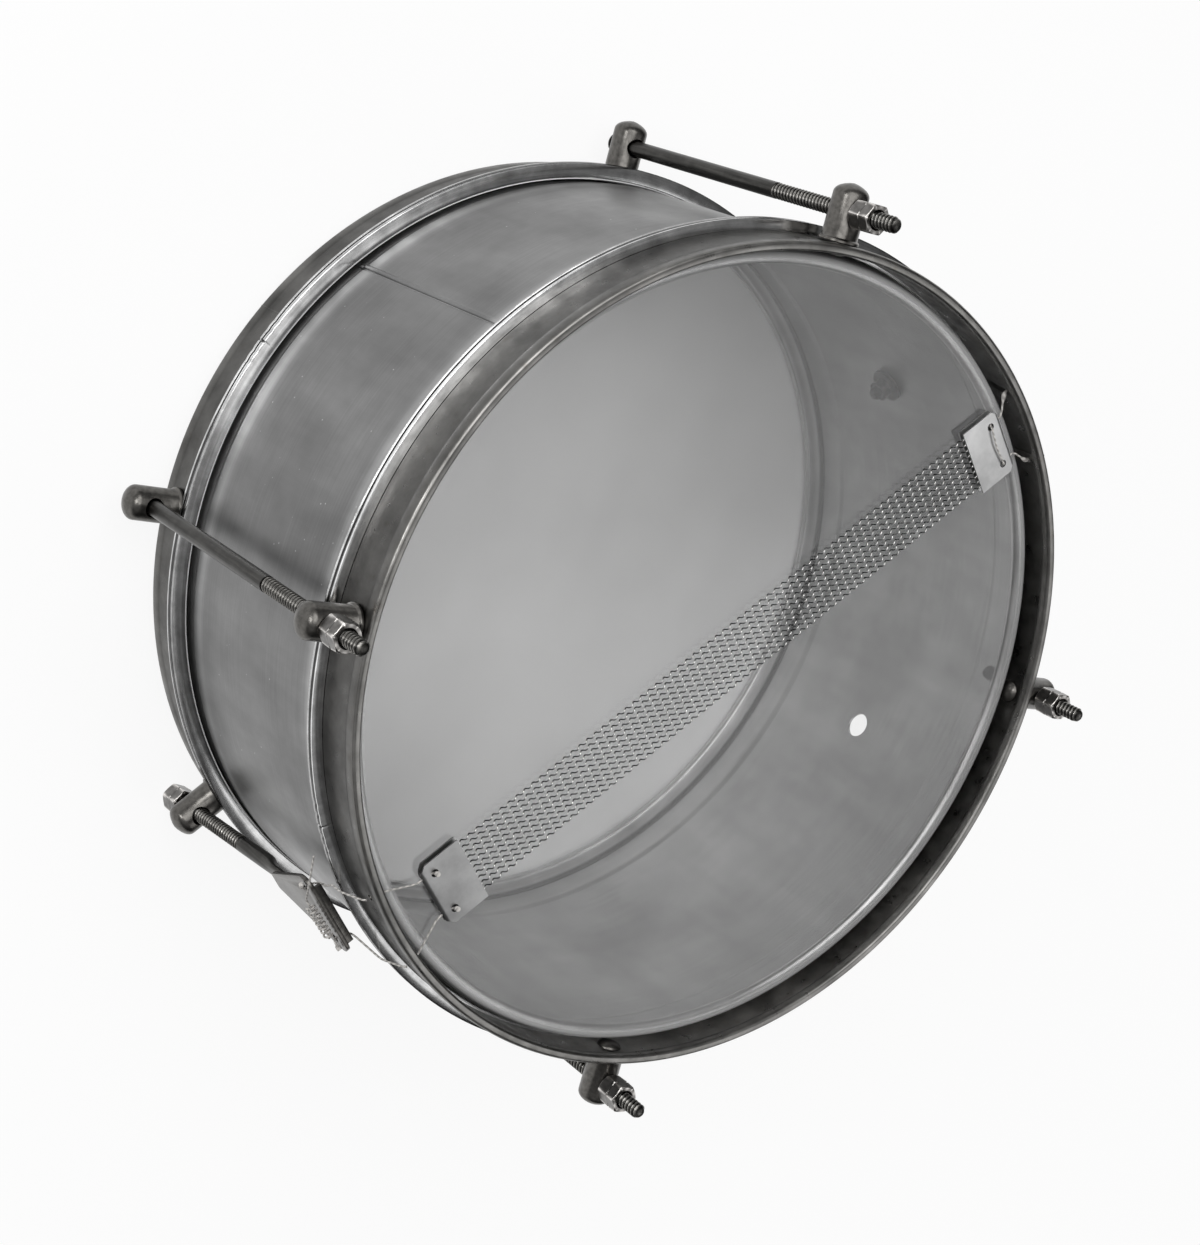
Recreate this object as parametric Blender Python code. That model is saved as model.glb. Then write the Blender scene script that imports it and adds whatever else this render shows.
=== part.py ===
"""Samba snare drum: sheet-metal shell, two heads, rod-tensioned hoops and a snare over the upper head.

The drum stands on its lower hoop, snare side up. Sizes are in millimetres and turned into metres
when a mesh is made. Angles are in degrees, counter-clockwise from +X as seen from above.
"""
import math

import bmesh
import bpy
from mathutils import Matrix, Vector

MM = 0.001
SIDES = 48                  # facets round the drum: lugs and strainer sit on the middle of one
FIT = 0.3                   # gap between pieces that touch

# Shell: one sheet, its ends drawn in and rolled over as bearing edges
SHELL_RADIUS = 152.4
SHELL_LENGTH = 134.5        # crest to crest
SHELL_WALL = 1.0
STEP_DEPTH = 1.0            # the ends are this much narrower
STEP_BELOW_CREST = 19.9
STEP_RUN = 1.8
EDGE_DROP = 6.7             # height of the sloping bearing edge
EDGE_INSET = 3.9            # how far the crest lies inside the drawn-in end
LIP_INSET = 3.0             # the rolled lip inside the crest
LIP_DROP = 2.2
VENT_RADIUS = 5.0
VENT_ANGLE = -15.6
VENT_ABOVE_MIDDLE = -1.6

# Heads: film drawn over the edge and held in an aluminium ring
FILM = 0.4
RING_BELOW_CREST = 10.65    # the ring's upper face, where the hoop presses
RING_WIDTH = 5.25           # across the section, outside its bore
RING_HEIGHT = 3.8
RING_ROUND = 0.7
SKIRT_FLARE = 0.95          # the film widens here into the ring
SKIRT_RUN = 1.6

# Hoops: rolled steel bands with a beaded rim
HOOP_PLAY = 0.7             # from the film to the band
HOOP_WALL = 1.8
HOOP_HEIGHT = 21.0
BEAD_HEIGHT = 5.2
BEAD_OUT = 0.4
BEAD_IN = 1.3
BEAD_ROUND = 1.3

# Lugs: domed studs riveted to the hoops, bored across for the rods
LUG_BELOW_RIM = 10.5
LUG_ANGLES = {"right": 0.0, "top": 90.0, "left": 180.0, "bottom": 270.0}
LUG_RADIUS = 6.5
LUG_LENGTH = 21.0
LUG_DOME = 3.8
LUG_COLLAR_LIP = 0.9
LUG_COLLAR_HEIGHT = 1.4
ROD_OVER_HOOP = 11.4        # rod axis outside the hoop's band
ROD_HOLE_PLAY = 0.7
RIVET_RADIUS = 2.3
RIVET_DEPTH = 4.0
RIVET_HEAD_RADIUS = 4.6
RIVET_HEAD_HEIGHT = 2.0

# Rods and nuts
ROD_RADIUS = 3.0
ROD_HEAD_LIP = 1.0
ROD_HEAD_HEIGHT = 1.3       # peened over under the lower lug
ROD_PAST_NUT = 10.0
NUT_FLATS = 10.0
NUT_HEIGHT = 10.0
NUT_CHAMFER = 0.7

# Strainer: a short rod through a lug on the lower hoop, pulling a triangular yoke
STRAINER_ANGLE = 225.0
STRAINER_LEAN = 2.1         # sideways
STRAINER_TUCK = 3.0         # towards the shell
STRAINER_TWIST = 3.0        # about the rod
STRAINER_ROD_LENGTH = 68.0  # from the lug's axis to the flattened tongue
TONGUE_LENGTH = 21.0
TONGUE_WIDTH = 6.8
TONGUE_THICKNESS = 2.4
TONGUE_RAISE = 1.2          # the tongue lies this far outside the rod's axis
TONGUE_RUN = 8.0
YOKE_WALL = 1.5
YOKE_WIDTH = 41.0           # at the fold, before its corners are rounded
YOKE_LENGTH = 39.0
YOKE_HEEL = 7.2
YOKE_CORNER = 4.5
YOKE_HEEL_CORNER = 1.2
YOKE_FLANGE = 3.9
YOKE_LAP = 3.5              # the web starts this far past the tongue's root
YOKE_HOLE_SPREAD = 24.8
YOKE_HOLE_BELOW_FOLD = 5.8
YOKE_HOLE_PLAY = 0.8

# Snare: wires held in two folded plates, tied over the upper head
SNARE_ANGLE = 43.5
SNARE_PLATE_LENGTH = 17.5
SNARE_PLATE_WIDTH = 28.0
SNARE_PLATE_SHEET = 0.6
SNARE_PLATE_CLIP = 3.2
SNARE_PLATE_NEAR_INSET = 17.3   # from the upper hoop's wall to the strainer's plate
SNARE_PLATE_FAR_INSET = 8.3
SNARE_WIRES = 10
SNARE_WIRE_RADIUS = 0.65
SNARE_WIRE_PITCH = 2.5
SNARE_WIRE_GRIP = 9.0
SNARE_HOLE_SPREAD = 17.5
SNARE_HOLE_PLAY = 1.0
SNARE_HOLE_INSET = 5.0
CORD_RADIUS = 0.5
CORD_HOLE_PLAY = 0.7
CORD_HOLE_SPREAD = 6.2      # degrees either side of the snare
CORD_BELOW_RIM = 8.2

# Winding of spare cord, whipped round itself on the yoke's face
WINDING_TURNS = 8
WINDING_PITCH = 1.9
WINDING_POINTS = 24
WINDING_GAP = 0.45          # between the loops and the strand inside them
WINDING_START = (8.5, -3.6)
WINDING_END = (-6.0, -5.2)
TAIL_BEND = (-18.0, 2.7, 0.9)
TAIL_END = (-29.5, 7.2, -4.7)

# Bolt through the shell, seen from inside
BOLT_ANGLE = 42.7
BOLT_ABOVE_MIDDLE = -5.3
BOLT_RADIUS = 2.5
BOLT_HEAD_RADIUS = 4.8
BOLT_HEAD_HEIGHT = 2.6
BOLT_END = 2.5
BOLT_WASHER_RADIUS = 7.0
BOLT_WASHER_HEIGHT = 1.2
BOLT_NUT_FLATS = 8.0
BOLT_NUT_HEIGHT = 4.0

# Places that follow from the sizes above
END_RADIUS = SHELL_RADIUS - STEP_DEPTH
FILM_ABOVE_CREST = FIT + FILM
RING_BORE = END_RADIUS + SKIRT_FLARE + FILM_ABOVE_CREST + FIT
RING_RADIUS = RING_BORE + RING_WIDTH
HOOP_INSIDE = END_RADIUS + FILM_ABOVE_CREST + HOOP_PLAY
HOOP_RADIUS = HOOP_INSIDE + HOOP_WALL
SNARE_REACH_STRAINER = HOOP_INSIDE - SNARE_PLATE_NEAR_INSET - SNARE_PLATE_LENGTH
SNARE_REACH_FAR = HOOP_INSIDE - SNARE_PLATE_FAR_INSET - SNARE_PLATE_LENGTH
RIM_ABOVE_CREST = HOOP_HEIGHT + FIT - RING_BELOW_CREST
DRUM_HEIGHT = SHELL_LENGTH + 2 * RIM_ABOVE_CREST
ROD_CIRCLE = HOOP_RADIUS + ROD_OVER_HOOP
NUT_CORNER = NUT_FLATS / 2 / math.cos(math.pi / 6)
STRAINER_SLANT = math.hypot(math.radians(STRAINER_LEAN), math.radians(STRAINER_TUCK))
STRAINER_NUT_SEAT = LUG_RADIUS + FIT + NUT_CORNER * math.sin(STRAINER_SLANT)
STRAINER_NUT_REACH = STRAINER_NUT_SEAT + NUT_HEIGHT
STRAINER_NUT_DROP = STRAINER_NUT_REACH * math.cos(STRAINER_SLANT) + NUT_CORNER * math.sin(STRAINER_SLANT)
BASE = STRAINER_NUT_DROP - LUG_BELOW_RIM
LOWER_RIM = BASE            # the strainer's nut reaches lowest, to z = 0
UPPER_RIM = BASE + DRUM_HEIGHT
MIDDLE = BASE + DRUM_HEIGHT / 2
UPPER_FILM_TOP = UPPER_RIM - RIM_ABOVE_CREST + FILM_ABOVE_CREST

MATERIALS = {
    "satin_shell": ((0.33, 0.33, 0.33), 0.42, 0.9),
    "stained_steel": ((0.16, 0.155, 0.15), 0.38, 0.95),
    "bright_aluminium": ((0.62, 0.62, 0.63), 0.28, 1.0),
    "clear_film": ((0.62, 0.63, 0.63), 0.08, 0.0),
    "pale_film": ((0.70, 0.70, 0.70), 0.35, 0.0),
    "dark_steel": ((0.10, 0.09, 0.085), 0.3, 1.0),
    "grey_rod": ((0.13, 0.125, 0.12), 0.45, 0.9),
    "nut_steel": ((0.20, 0.19, 0.185), 0.33, 1.0),
    "tinned_plate": ((0.42, 0.42, 0.42), 0.4, 0.8),
    "snare_wire": ((0.45, 0.45, 0.45), 0.3, 1.0),
    "white_cord": ((0.66, 0.65, 0.63), 0.85, 0.0),
}


def flat(radius):
    """Distance from the drum's axis to the middle of a facet whose corners lie at this radius."""
    return radius * math.cos(math.pi / SIDES)


def unit(angle):
    a = math.radians(angle)
    return Vector((math.cos(a), math.sin(a), 0.0))


def frame(x_axis, z_axis, origin):
    """Placing matrix in metres with this z axis and, as nearly as it goes, this x axis."""
    z = z_axis.normalized()
    x = (x_axis - z * x_axis.dot(z)).normalized()
    turn = Matrix((x, z.cross(x), z)).transposed().to_4x4()
    return Matrix.Translation(origin * MM) @ turn


def radial_frame(angle, radius, height):
    """Origin at a place on the drum's side, z pointing straight out, y up."""
    out = unit(angle)
    return frame(Vector((0, 0, 1)).cross(out), out, out * radius + Vector((0, 0, height)))


def end_height(below_rim, upper):
    """Height of a point this far inside the upper or lower rim."""
    return UPPER_RIM - below_rim if upper else LOWER_RIM + below_rim


def material(name):
    found = bpy.data.materials.get(name)
    if found:
        return found
    colour, roughness, metallic = MATERIALS[name]
    made = bpy.data.materials.new(name)
    made.use_nodes = True
    shader = made.node_tree.nodes["Principled BSDF"]
    shader.inputs["Base Color"].default_value = (*colour, 1.0)
    shader.inputs["Roughness"].default_value = roughness
    shader.inputs["Metallic"].default_value = metallic
    return made


def finish(name, bm, surface, place=None, smooth=True):
    """Closes a bmesh, whose units are millimetres, into an object of this name."""
    bmesh.ops.remove_doubles(bm, verts=bm.verts, dist=1e-4)
    bmesh.ops.recalc_face_normals(bm, faces=bm.faces)
    bmesh.ops.scale(bm, vec=(MM, MM, MM), verts=bm.verts)
    mesh = bpy.data.meshes.new(name)
    bm.to_mesh(mesh)
    bm.free()
    if smooth:
        mesh.shade_smooth()
        mesh.set_sharp_from_angle(angle=math.radians(35))
    made = bpy.data.objects.new(name, mesh)
    bpy.context.scene.collection.objects.link(made)
    if surface:
        mesh.materials.append(material(surface))
    if place:
        made.matrix_world = place
    return made


def turned(bm, outline, sides, phase=0.0):
    """Spins an outline of (radius, height) pairs: a closed ring, or a solid from radius 0 to radius 0."""
    start = math.radians(phase)
    points = [bm.verts.new((r * math.cos(start), r * math.sin(start), h)) for r, h in outline]
    edges = [bm.edges.new(pair) for pair in zip(points, points[1:])]
    if outline[0][0] > 0:
        edges.append(bm.edges.new((points[-1], points[0])))
    bmesh.ops.spin(bm, geom=points + edges, cent=(0, 0, 0), axis=(0, 0, 1), dvec=(0, 0, 0),
                   angle=2 * math.pi, steps=sides, use_merge=True)
    bmesh.ops.remove_doubles(bm, verts=bm.verts, dist=1e-4)


def turned_object(name, outline, surface, sides=16, place=None, phase=0.0):
    bm = bmesh.new()
    turned(bm, outline, sides, phase)
    return finish(name, bm, surface, place)


def drum_ring(name, outline, surface):
    """A turned piece as wide as the drum, with a facet's middle at every lug."""
    return turned_object(name, outline, surface, SIDES, phase=180 / SIDES)


def prism(bm, corners, low, high):
    """A straight-sided block over a flat outline of (x, y) corners."""
    bottom = [bm.verts.new((x, y, low)) for x, y in corners]
    top = [bm.verts.new((x, y, high)) for x, y in corners]
    bm.faces.new(bottom)
    bm.faces.new(top)
    for i in range(len(corners)):
        j = (i + 1) % len(corners)
        bm.faces.new((bottom[i], bottom[j], top[j], top[i]))


def loft(bm, rings):
    """Joins rings with the same number of points into one capped solid."""
    rows = [[bm.verts.new(point) for point in ring] for ring in rings]
    for low, high in zip(rows, rows[1:]):
        for i in range(len(low)):
            j = (i + 1) % len(low)
            bm.faces.new((low[i], low[j], high[j], high[i]))
    bm.faces.new(rows[0])
    bm.faces.new(rows[-1])


def circle(radius, sides, phase=0.0):
    steps = [2 * math.pi * i / sides + math.radians(phase) for i in range(sides)]
    return [(radius * math.cos(a), radius * math.sin(a)) for a in steps]


def drill(bm, radius, low, high, x=0.0, y=0.0, sides=10, stretch=1.0):
    """Adds the solid of a straight hole along z, drawn out along y into a slot."""
    prism(bm, [(x + px, y + py * stretch) for px, py in circle(radius, sides, 180 / sides)], low, high)


def cut(piece, bm, place, operation="DIFFERENCE"):
    """Cuts a piece with the solids of a bmesh, or keeps what they share."""
    cutter = finish(piece.name + "_cutter", bm, None, place, smooth=False)
    cutter.hide_render = True
    cutter.display_type = "WIRE"
    step = piece.modifiers.new(cutter.name, "BOOLEAN")
    step.solver = "EXACT"
    step.operation = operation
    step.object = cutter


def offset_path(path, distance):
    """Moves a path of (radius, height) pairs sideways, to its left, with mitred corners."""
    moved = []
    for i, here in enumerate(path):
        before = Vector(path[max(i - 1, 0)])
        after = Vector(path[min(i + 1, len(path) - 1)])
        point = Vector(here)
        arms = [(point - before), (after - point)]
        normals = [Vector((-a.y, a.x)).normalized() for a in arms if a.length > 0]
        middle = sum(normals, Vector((0, 0))).normalized()
        moved.append(point + middle * (distance / middle.dot(normals[0])))
    return [(p.x, p.y) for p in moved]


def edge_path():
    """The shell's outer face from below its step to the crest, as (radius, height over the crest)."""
    crest = END_RADIUS - EDGE_INSET
    return [
        (END_RADIUS, -EDGE_DROP),
        (crest + EDGE_INSET * 0.35, -EDGE_DROP * 0.12),
        (crest, 0.0),
    ]


def mirrored(path, upper):
    """Heights over the crest turned into heights in the drum, for either end."""
    crest = end_height(RIM_ABOVE_CREST, upper)
    side = 1 if upper else -1
    return [(r, crest + side * h) for r, h in path]


def build_shell():
    crest = END_RADIUS - EDGE_INSET
    lip = [(crest - LIP_INSET, -LIP_DROP)]
    step = [(SHELL_RADIUS, -STEP_BELOW_CREST), (END_RADIUS, STEP_RUN - STEP_BELOW_CREST)]
    outer = step + edge_path() + lip
    inner = offset_path(outer, SHELL_WALL)
    upper_loop = mirrored(outer, True) + mirrored(inner[::-1], True)
    lower_loop = mirrored(inner, False) + mirrored(outer[::-1], False)
    shell = drum_ring("shell", upper_loop + lower_loop, "satin_shell")
    through = (SHELL_RADIUS - 12.0, SHELL_RADIUS + 6.0)
    holes = (
        (VENT_ANGLE, VENT_ABOVE_MIDDLE, VENT_RADIUS, 16),
        (BOLT_ANGLE, BOLT_ABOVE_MIDDLE, BOLT_RADIUS + FIT, 12),
    )
    for angle, above, radius, sides in holes:
        bm = bmesh.new()
        drill(bm, radius, *through, sides=sides)
        cut(shell, bm, radial_frame(angle, 0.0, MIDDLE + above))


def head_path():
    """The film's run over the bearing edge, before it is moved clear of the shell."""
    skirt = [
        (END_RADIUS + SKIRT_FLARE, FIT - RING_BELOW_CREST - RING_HEIGHT),
        (END_RADIUS + SKIRT_FLARE, -RING_BELOW_CREST - SKIRT_RUN),
        (END_RADIUS, -RING_BELOW_CREST),
    ]
    return skirt + edge_path()


def build_head(upper):
    name = "head_upper" if upper else "head_lower"
    under = offset_path(head_path(), -FIT)
    over = offset_path(head_path(), -FILM_ABOVE_CREST)
    outline = [(0.0, FIT)] + under[::-1] + over + [(0.0, FILM_ABOVE_CREST)]
    drum_ring(name, mirrored(outline, upper), "clear_film" if upper else "pale_film")


def build_ring(upper):
    name = "flesh_hoop_upper" if upper else "flesh_hoop_lower"
    top = -RING_BELOW_CREST
    low = top - RING_HEIGHT
    outline = [
        (RING_BORE, top),
        (RING_RADIUS - RING_ROUND, top),
        (RING_RADIUS, top - RING_ROUND),
        (RING_RADIUS, low + RING_ROUND),
        (RING_RADIUS - RING_ROUND, low),
        (RING_BORE, low),
    ]
    drum_ring(name, mirrored(outline, upper), "bright_aluminium")


def build_hoop(upper, cord_angles):
    """Band with a rolled bead at the rim, holed for its rivets and cords."""
    name = "counterhoop_upper" if upper else "counterhoop_lower"
    bead_outside = HOOP_RADIUS + BEAD_OUT
    bead_inside = HOOP_INSIDE - BEAD_IN
    outline = [
        (HOOP_RADIUS, HOOP_HEIGHT),
        (HOOP_RADIUS, BEAD_HEIGHT + BEAD_OUT),
        (bead_outside, BEAD_HEIGHT - BEAD_OUT),
        (bead_outside, BEAD_ROUND),
        (bead_outside - BEAD_ROUND * 0.3, BEAD_ROUND * 0.3),
        (bead_outside - BEAD_ROUND, 0.0),
        (bead_inside + BEAD_ROUND, 0.0),
        (bead_inside + BEAD_ROUND * 0.3, BEAD_ROUND * 0.3),
        (bead_inside, BEAD_ROUND),
        (bead_inside, BEAD_HEIGHT - BEAD_IN),
        (HOOP_INSIDE, BEAD_HEIGHT),
        (HOOP_INSIDE, HOOP_HEIGHT),
    ]
    hoop = drum_ring(name, [(r, end_height(e, upper)) for r, e in outline], "stained_steel")
    angles = list(LUG_ANGLES.values()) + ([] if upper else [STRAINER_ANGLE])
    holes = [(a, RIVET_RADIUS + FIT, LUG_BELOW_RIM) for a in angles]
    holes += [(a, CORD_RADIUS + CORD_HOLE_PLAY, CORD_BELOW_RIM) for a in cord_angles]
    for angle, radius, below in holes:
        bm = bmesh.new()
        drill(bm, radius, HOOP_INSIDE - 6.0, bead_outside + 6.0)
        cut(hoop, bm, radial_frame(angle, 0.0, end_height(below, upper)))


def build_lug(name, angle, upper, lean=0.0):
    """A domed stud outside the hoop and the rivet that holds it, bored for a rod that leans this much."""
    seat = flat(HOOP_RADIUS + BEAD_OUT) + FIT
    height = end_height(LUG_BELOW_RIM, upper)
    turn = Matrix.Rotation(math.radians(lean), 4, "Z")
    place = radial_frame(angle, seat, height) @ turn
    bore = RIVET_RADIUS + FIT
    collar = LUG_RADIUS + LUG_COLLAR_LIP
    dome = [(LUG_RADIUS * math.cos(a), LUG_LENGTH - LUG_DOME + LUG_DOME * math.sin(a))
            for a in (math.radians(step) for step in (0, 32, 64))]
    outline = [(0.0, RIVET_DEPTH + FIT), (bore, RIVET_DEPTH + FIT), (bore, 0.0)]
    outline += [(collar, 0.0), (collar, LUG_COLLAR_HEIGHT), (LUG_RADIUS, LUG_COLLAR_HEIGHT)]
    outline += dome + [(0.0, LUG_LENGTH)]
    lug = turned_object("lug_" + name, outline, "dark_steel", 14, place)
    bm = bmesh.new()
    drill(bm, ROD_RADIUS + ROD_HOLE_PLAY, -12.0, 12.0)
    across = Matrix.Rotation(math.radians(-90), 4, "X")
    cut(lug, bm, place @ Matrix.Translation((0, 0, (ROD_CIRCLE - seat) * MM)) @ across)

    under = flat(HOOP_INSIDE) - FIT
    head = [(RIVET_HEAD_RADIUS * math.cos(a), -RIVET_HEAD_HEIGHT * math.sin(a))
            for a in (math.radians(step) for step in (60, 30, 0))]
    shank = [(RIVET_RADIUS, 0.0), (RIVET_RADIUS, seat + RIVET_DEPTH - under)]
    rivet = [(0.0, -RIVET_HEAD_HEIGHT)] + head + shank + [(0.0, seat + RIVET_DEPTH - under)]
    turned_object("rivet_" + name, rivet, "dark_steel", 12, radial_frame(angle, under, height))


def rod_outline(low, high):
    """A plain rod with a round head below and a chamfered end."""
    chamfer = 0.6
    head = ROD_RADIUS + ROD_HEAD_LIP
    return [
        (0.0, low - ROD_HEAD_HEIGHT),
        (head * 0.6, low - ROD_HEAD_HEIGHT),
        (head, low - ROD_HEAD_HEIGHT * 0.5),
        (head, low),
        (ROD_RADIUS, low),
        (ROD_RADIUS, high - chamfer),
        (ROD_RADIUS - chamfer, high),
        (0.0, high),
    ]


def build_rod(name, angle):
    """A tension rod: headed under the lower lug, its free end past the nut on the upper one."""
    low = end_height(LUG_BELOW_RIM, False) - LUG_RADIUS - FIT
    high = end_height(LUG_BELOW_RIM, True) + LUG_RADIUS + FIT + NUT_HEIGHT + ROD_PAST_NUT
    place = Matrix.Translation(unit(angle) * ROD_CIRCLE * MM)
    turned_object("tension_rod_" + name, rod_outline(low, high), "grey_rod", 12, place)


def build_nut(name, place, flats=NUT_FLATS, height=NUT_HEIGHT, bore=ROD_RADIUS + FIT, surface="nut_steel"):
    """A chamfered hexagon nut standing on the origin of its place."""
    corner = flats / 2 / math.cos(math.pi / 6)
    bm = bmesh.new()
    hexagon = circle(corner, 6)
    prism(bm, hexagon, 0.0, height)
    nut = finish(name, bm, surface, place)
    bm = bmesh.new()
    short = corner - NUT_CHAMFER
    wide = corner + 0.02
    rise = NUT_CHAMFER * 0.8
    half = [(bore, 0.0), (short, 0.0), (wide, rise)]
    outline = half + [(r, height - z) for r, z in reversed(half)]
    turned(bm, outline, 12)
    cut(nut, bm, place, "INTERSECT")
    return nut


def build_tension_nut(name, angle):
    foot = Vector((0, 0, end_height(LUG_BELOW_RIM, True) + LUG_RADIUS + FIT))
    build_nut("tension_nut_" + name, Matrix.Translation((unit(angle) * ROD_CIRCLE + foot) * MM))


def strainer_frame():
    """Origin where the strainer's rod crosses its lug, z along the rod, y towards the shell."""
    out = unit(STRAINER_ANGLE)
    up = Vector((0, 0, 1))
    side = up.cross(out)
    along = up - side * math.tan(math.radians(STRAINER_LEAN)) - out * math.tan(math.radians(STRAINER_TUCK))
    across = side + out * math.tan(math.radians(STRAINER_TWIST))
    return frame(across, along, out * ROD_CIRCLE + up * end_height(LUG_BELOW_RIM, False))


def build_strainer_rod():
    """Round through the lug, then flattened into a tongue under the yoke."""
    root = STRAINER_ROD_LENGTH - TONGUE_RUN
    round_ring = circle(ROD_RADIUS, 12, 15)
    flat_ring = []
    for x, y in round_ring:
        wide = math.copysign(abs(x / ROD_RADIUS) ** 0.6, x) * TONGUE_WIDTH / 2
        thin = math.copysign(abs(y / ROD_RADIUS) ** 0.6, y) * TONGUE_THICKNESS / 2
        flat_ring.append((wide, thin - TONGUE_RAISE))
    end = STRAINER_ROD_LENGTH + TONGUE_LENGTH
    rings = [
        [(x, y, FIT - STRAINER_NUT_REACH) for x, y in round_ring],
        [(x, y, root) for x, y in round_ring],
        [(x, y, STRAINER_ROD_LENGTH) for x, y in flat_ring],
        [(x, y, end - TONGUE_THICKNESS / 2) for x, y in flat_ring],
        [(x * 0.6, y, end) for x, y in flat_ring],
    ]
    bm = bmesh.new()
    loft(bm, rings)
    finish("strainer_rod", bm, "grey_rod", strainer_frame())


def build_strainer_nut():
    """Turned so that one corner points down the slope."""
    place = strainer_frame()
    downhill = math.atan2(-place[2][1], -place[2][0])
    below = Matrix.Translation((0, 0, -STRAINER_NUT_REACH * MM))
    build_nut("strainer_nut", place @ below @ Matrix.Rotation(downhill, 4, "Z"))


def yoke_frame():
    """Origin at the middle of the yoke's fold; x along it, y towards the upper hoop, z out."""
    place = strainer_frame()
    across, inward, along = (place.col[i].to_3d() for i in range(3))
    face = TONGUE_RAISE + TONGUE_THICKNESS / 2 + FIT + YOKE_WALL
    fold = STRAINER_ROD_LENGTH + YOKE_LAP + YOKE_LENGTH
    return frame(across, -inward, place.translation / MM + along * fold - inward * face)


def rounded(corners, radii, steps=4):
    """A flat outline whose corners are rounded by arcs of these radii."""
    outline = []
    for i, corner in enumerate(corners):
        here = Vector(corner)
        back = (Vector(corners[i - 1]) - here).normalized()
        on = (Vector(corners[(i + 1) % len(corners)]) - here).normalized()
        half = math.acos(back.dot(on)) / 2
        reach = radii[i] / math.tan(half)
        middle = here + (back + on).normalized() * radii[i] / math.sin(half)
        first = here + back * reach - middle
        turn = math.pi - 2 * half
        side = 1 if back.x * on.y - back.y * on.x < 0 else -1
        for step in range(steps + 1):
            a = side * turn * step / steps
            outline.append((middle.x + first.x * math.cos(a) - first.y * math.sin(a),
                            middle.y + first.x * math.sin(a) + first.y * math.cos(a)))
    return outline


def build_yoke():
    """A triangular web over the tongue, its wide edge folded towards the shell."""
    half = YOKE_WIDTH / 2
    heel = YOKE_HEEL / 2
    corners = [(-half, 0.0), (-heel, -YOKE_LENGTH), (heel, -YOKE_LENGTH), (half, 0.0)]
    radii = (YOKE_CORNER, YOKE_HEEL_CORNER, YOKE_HEEL_CORNER, YOKE_CORNER)
    bm = bmesh.new()
    prism(bm, rounded(corners, radii), -YOKE_WALL, 0.0)
    yoke = finish("strainer_yoke", bm, "dark_steel", yoke_frame(), smooth=False)
    slope = math.atan2(YOKE_LENGTH, half - heel)
    straight = half - YOKE_CORNER / math.tan(slope / 2)
    strip = [(-straight, -YOKE_WALL), (straight, -YOKE_WALL), (straight, 0.0), (-straight, 0.0)]
    bm = bmesh.new()
    prism(bm, strip, -YOKE_FLANGE, -YOKE_WALL / 2)
    cut(yoke, bm, yoke_frame(), "UNION")
    bm = bmesh.new()
    for side in (-1, 1):
        spot = (YOKE_HOLE_BELOW_FOLD, side * YOKE_HOLE_SPREAD / 2)
        drill(bm, CORD_RADIUS + YOKE_HOLE_PLAY, -YOKE_WALL - 2.0, 2.0, *spot, stretch=1.5)
    cut(yoke, bm, yoke_frame() @ Matrix.Rotation(math.radians(-90), 4, "Z"))


def snare_frame():
    """Origin on the drum's axis at the upper head's face, x towards the far end of the snare."""
    return frame(unit(SNARE_ANGLE), Vector((0, 0, 1)), Vector((0, 0, UPPER_FILM_TOP)))


def plate_levels():
    """Heights over the head of the lower leaf's foot and face and the upper leaf's foot and face."""
    sheet = SNARE_PLATE_SHEET
    gap = 2 * (SNARE_WIRE_RADIUS + FIT)
    return FIT, FIT + sheet, FIT + sheet + gap, FIT + 2 * sheet + gap


def wire_height():
    low, leaf, roof, top = plate_levels()
    return (leaf + roof) / 2


def plate_hole_x(side):
    inner = SNARE_REACH_FAR if side > 0 else SNARE_REACH_STRAINER
    return side * (inner + SNARE_PLATE_LENGTH - SNARE_HOLE_INSET)


def build_snare_plate(name, side):
    """A sheet folded over the wire ends, its outer corners clipped, holed for the cord."""
    low, leaf, roof, top = plate_levels()
    inner = SNARE_REACH_FAR if side > 0 else SNARE_REACH_STRAINER
    outer = inner + SNARE_PLATE_LENGTH
    fold = (top - low) / 2
    sheet = SNARE_PLATE_SHEET
    half = SNARE_PLATE_WIDTH / 2
    bend = outer - fold * 0.5
    outside = [
        (inner, low),
        (bend, low),
        (outer, low + fold * 0.6),
        (outer, top - fold * 0.6),
        (bend, top),
        (inner, top),
    ]
    hollow = [
        (inner, roof),
        (bend - sheet, roof),
        (outer - sheet, top - fold * 0.8),
        (outer - sheet, low + fold * 0.8),
        (bend - sheet, leaf),
        (inner, leaf),
    ]
    bm = bmesh.new()
    rings = [[(side * x, y, z) for x, z in outside + hollow] for y in (-half, half)]
    loft(bm, rings)
    plate = finish(name, bm, "tinned_plate", snare_frame(), smooth=False)
    bm = bmesh.new()
    clip = SNARE_PLATE_CLIP
    for y in (-1, 1):
        wedge = [
            (outer + 1, half - clip),
            (outer + 1, half + 1),
            (outer - clip, half + 1),
            (outer - clip * 0.9, half),
            (outer, half - clip * 0.9),
        ]
        prism(bm, [(side * a, y * b) for a, b in wedge], low - 2, top + 2)
    cut(plate, bm, snare_frame())
    bm = bmesh.new()
    for y in (-1, 1):
        spot = (plate_hole_x(side), y * SNARE_HOLE_SPREAD / 2)
        drill(bm, CORD_RADIUS + SNARE_HOLE_PLAY, wire_height(), top + 2, *spot)
    cut(plate, bm, snare_frame())
    bm = bmesh.new()
    for y in (-1, 1):
        spot = (-side * wire_height(), y * SNARE_HOLE_SPREAD / 2)
        drill(bm, CORD_RADIUS + FIT, outer - 3 * sheet, outer + 2, *spot, stretch=2.0)
    outward = Matrix.Rotation(math.radians(side * 90), 4, "Y")
    cut(plate, bm, snare_frame() @ outward)


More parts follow.
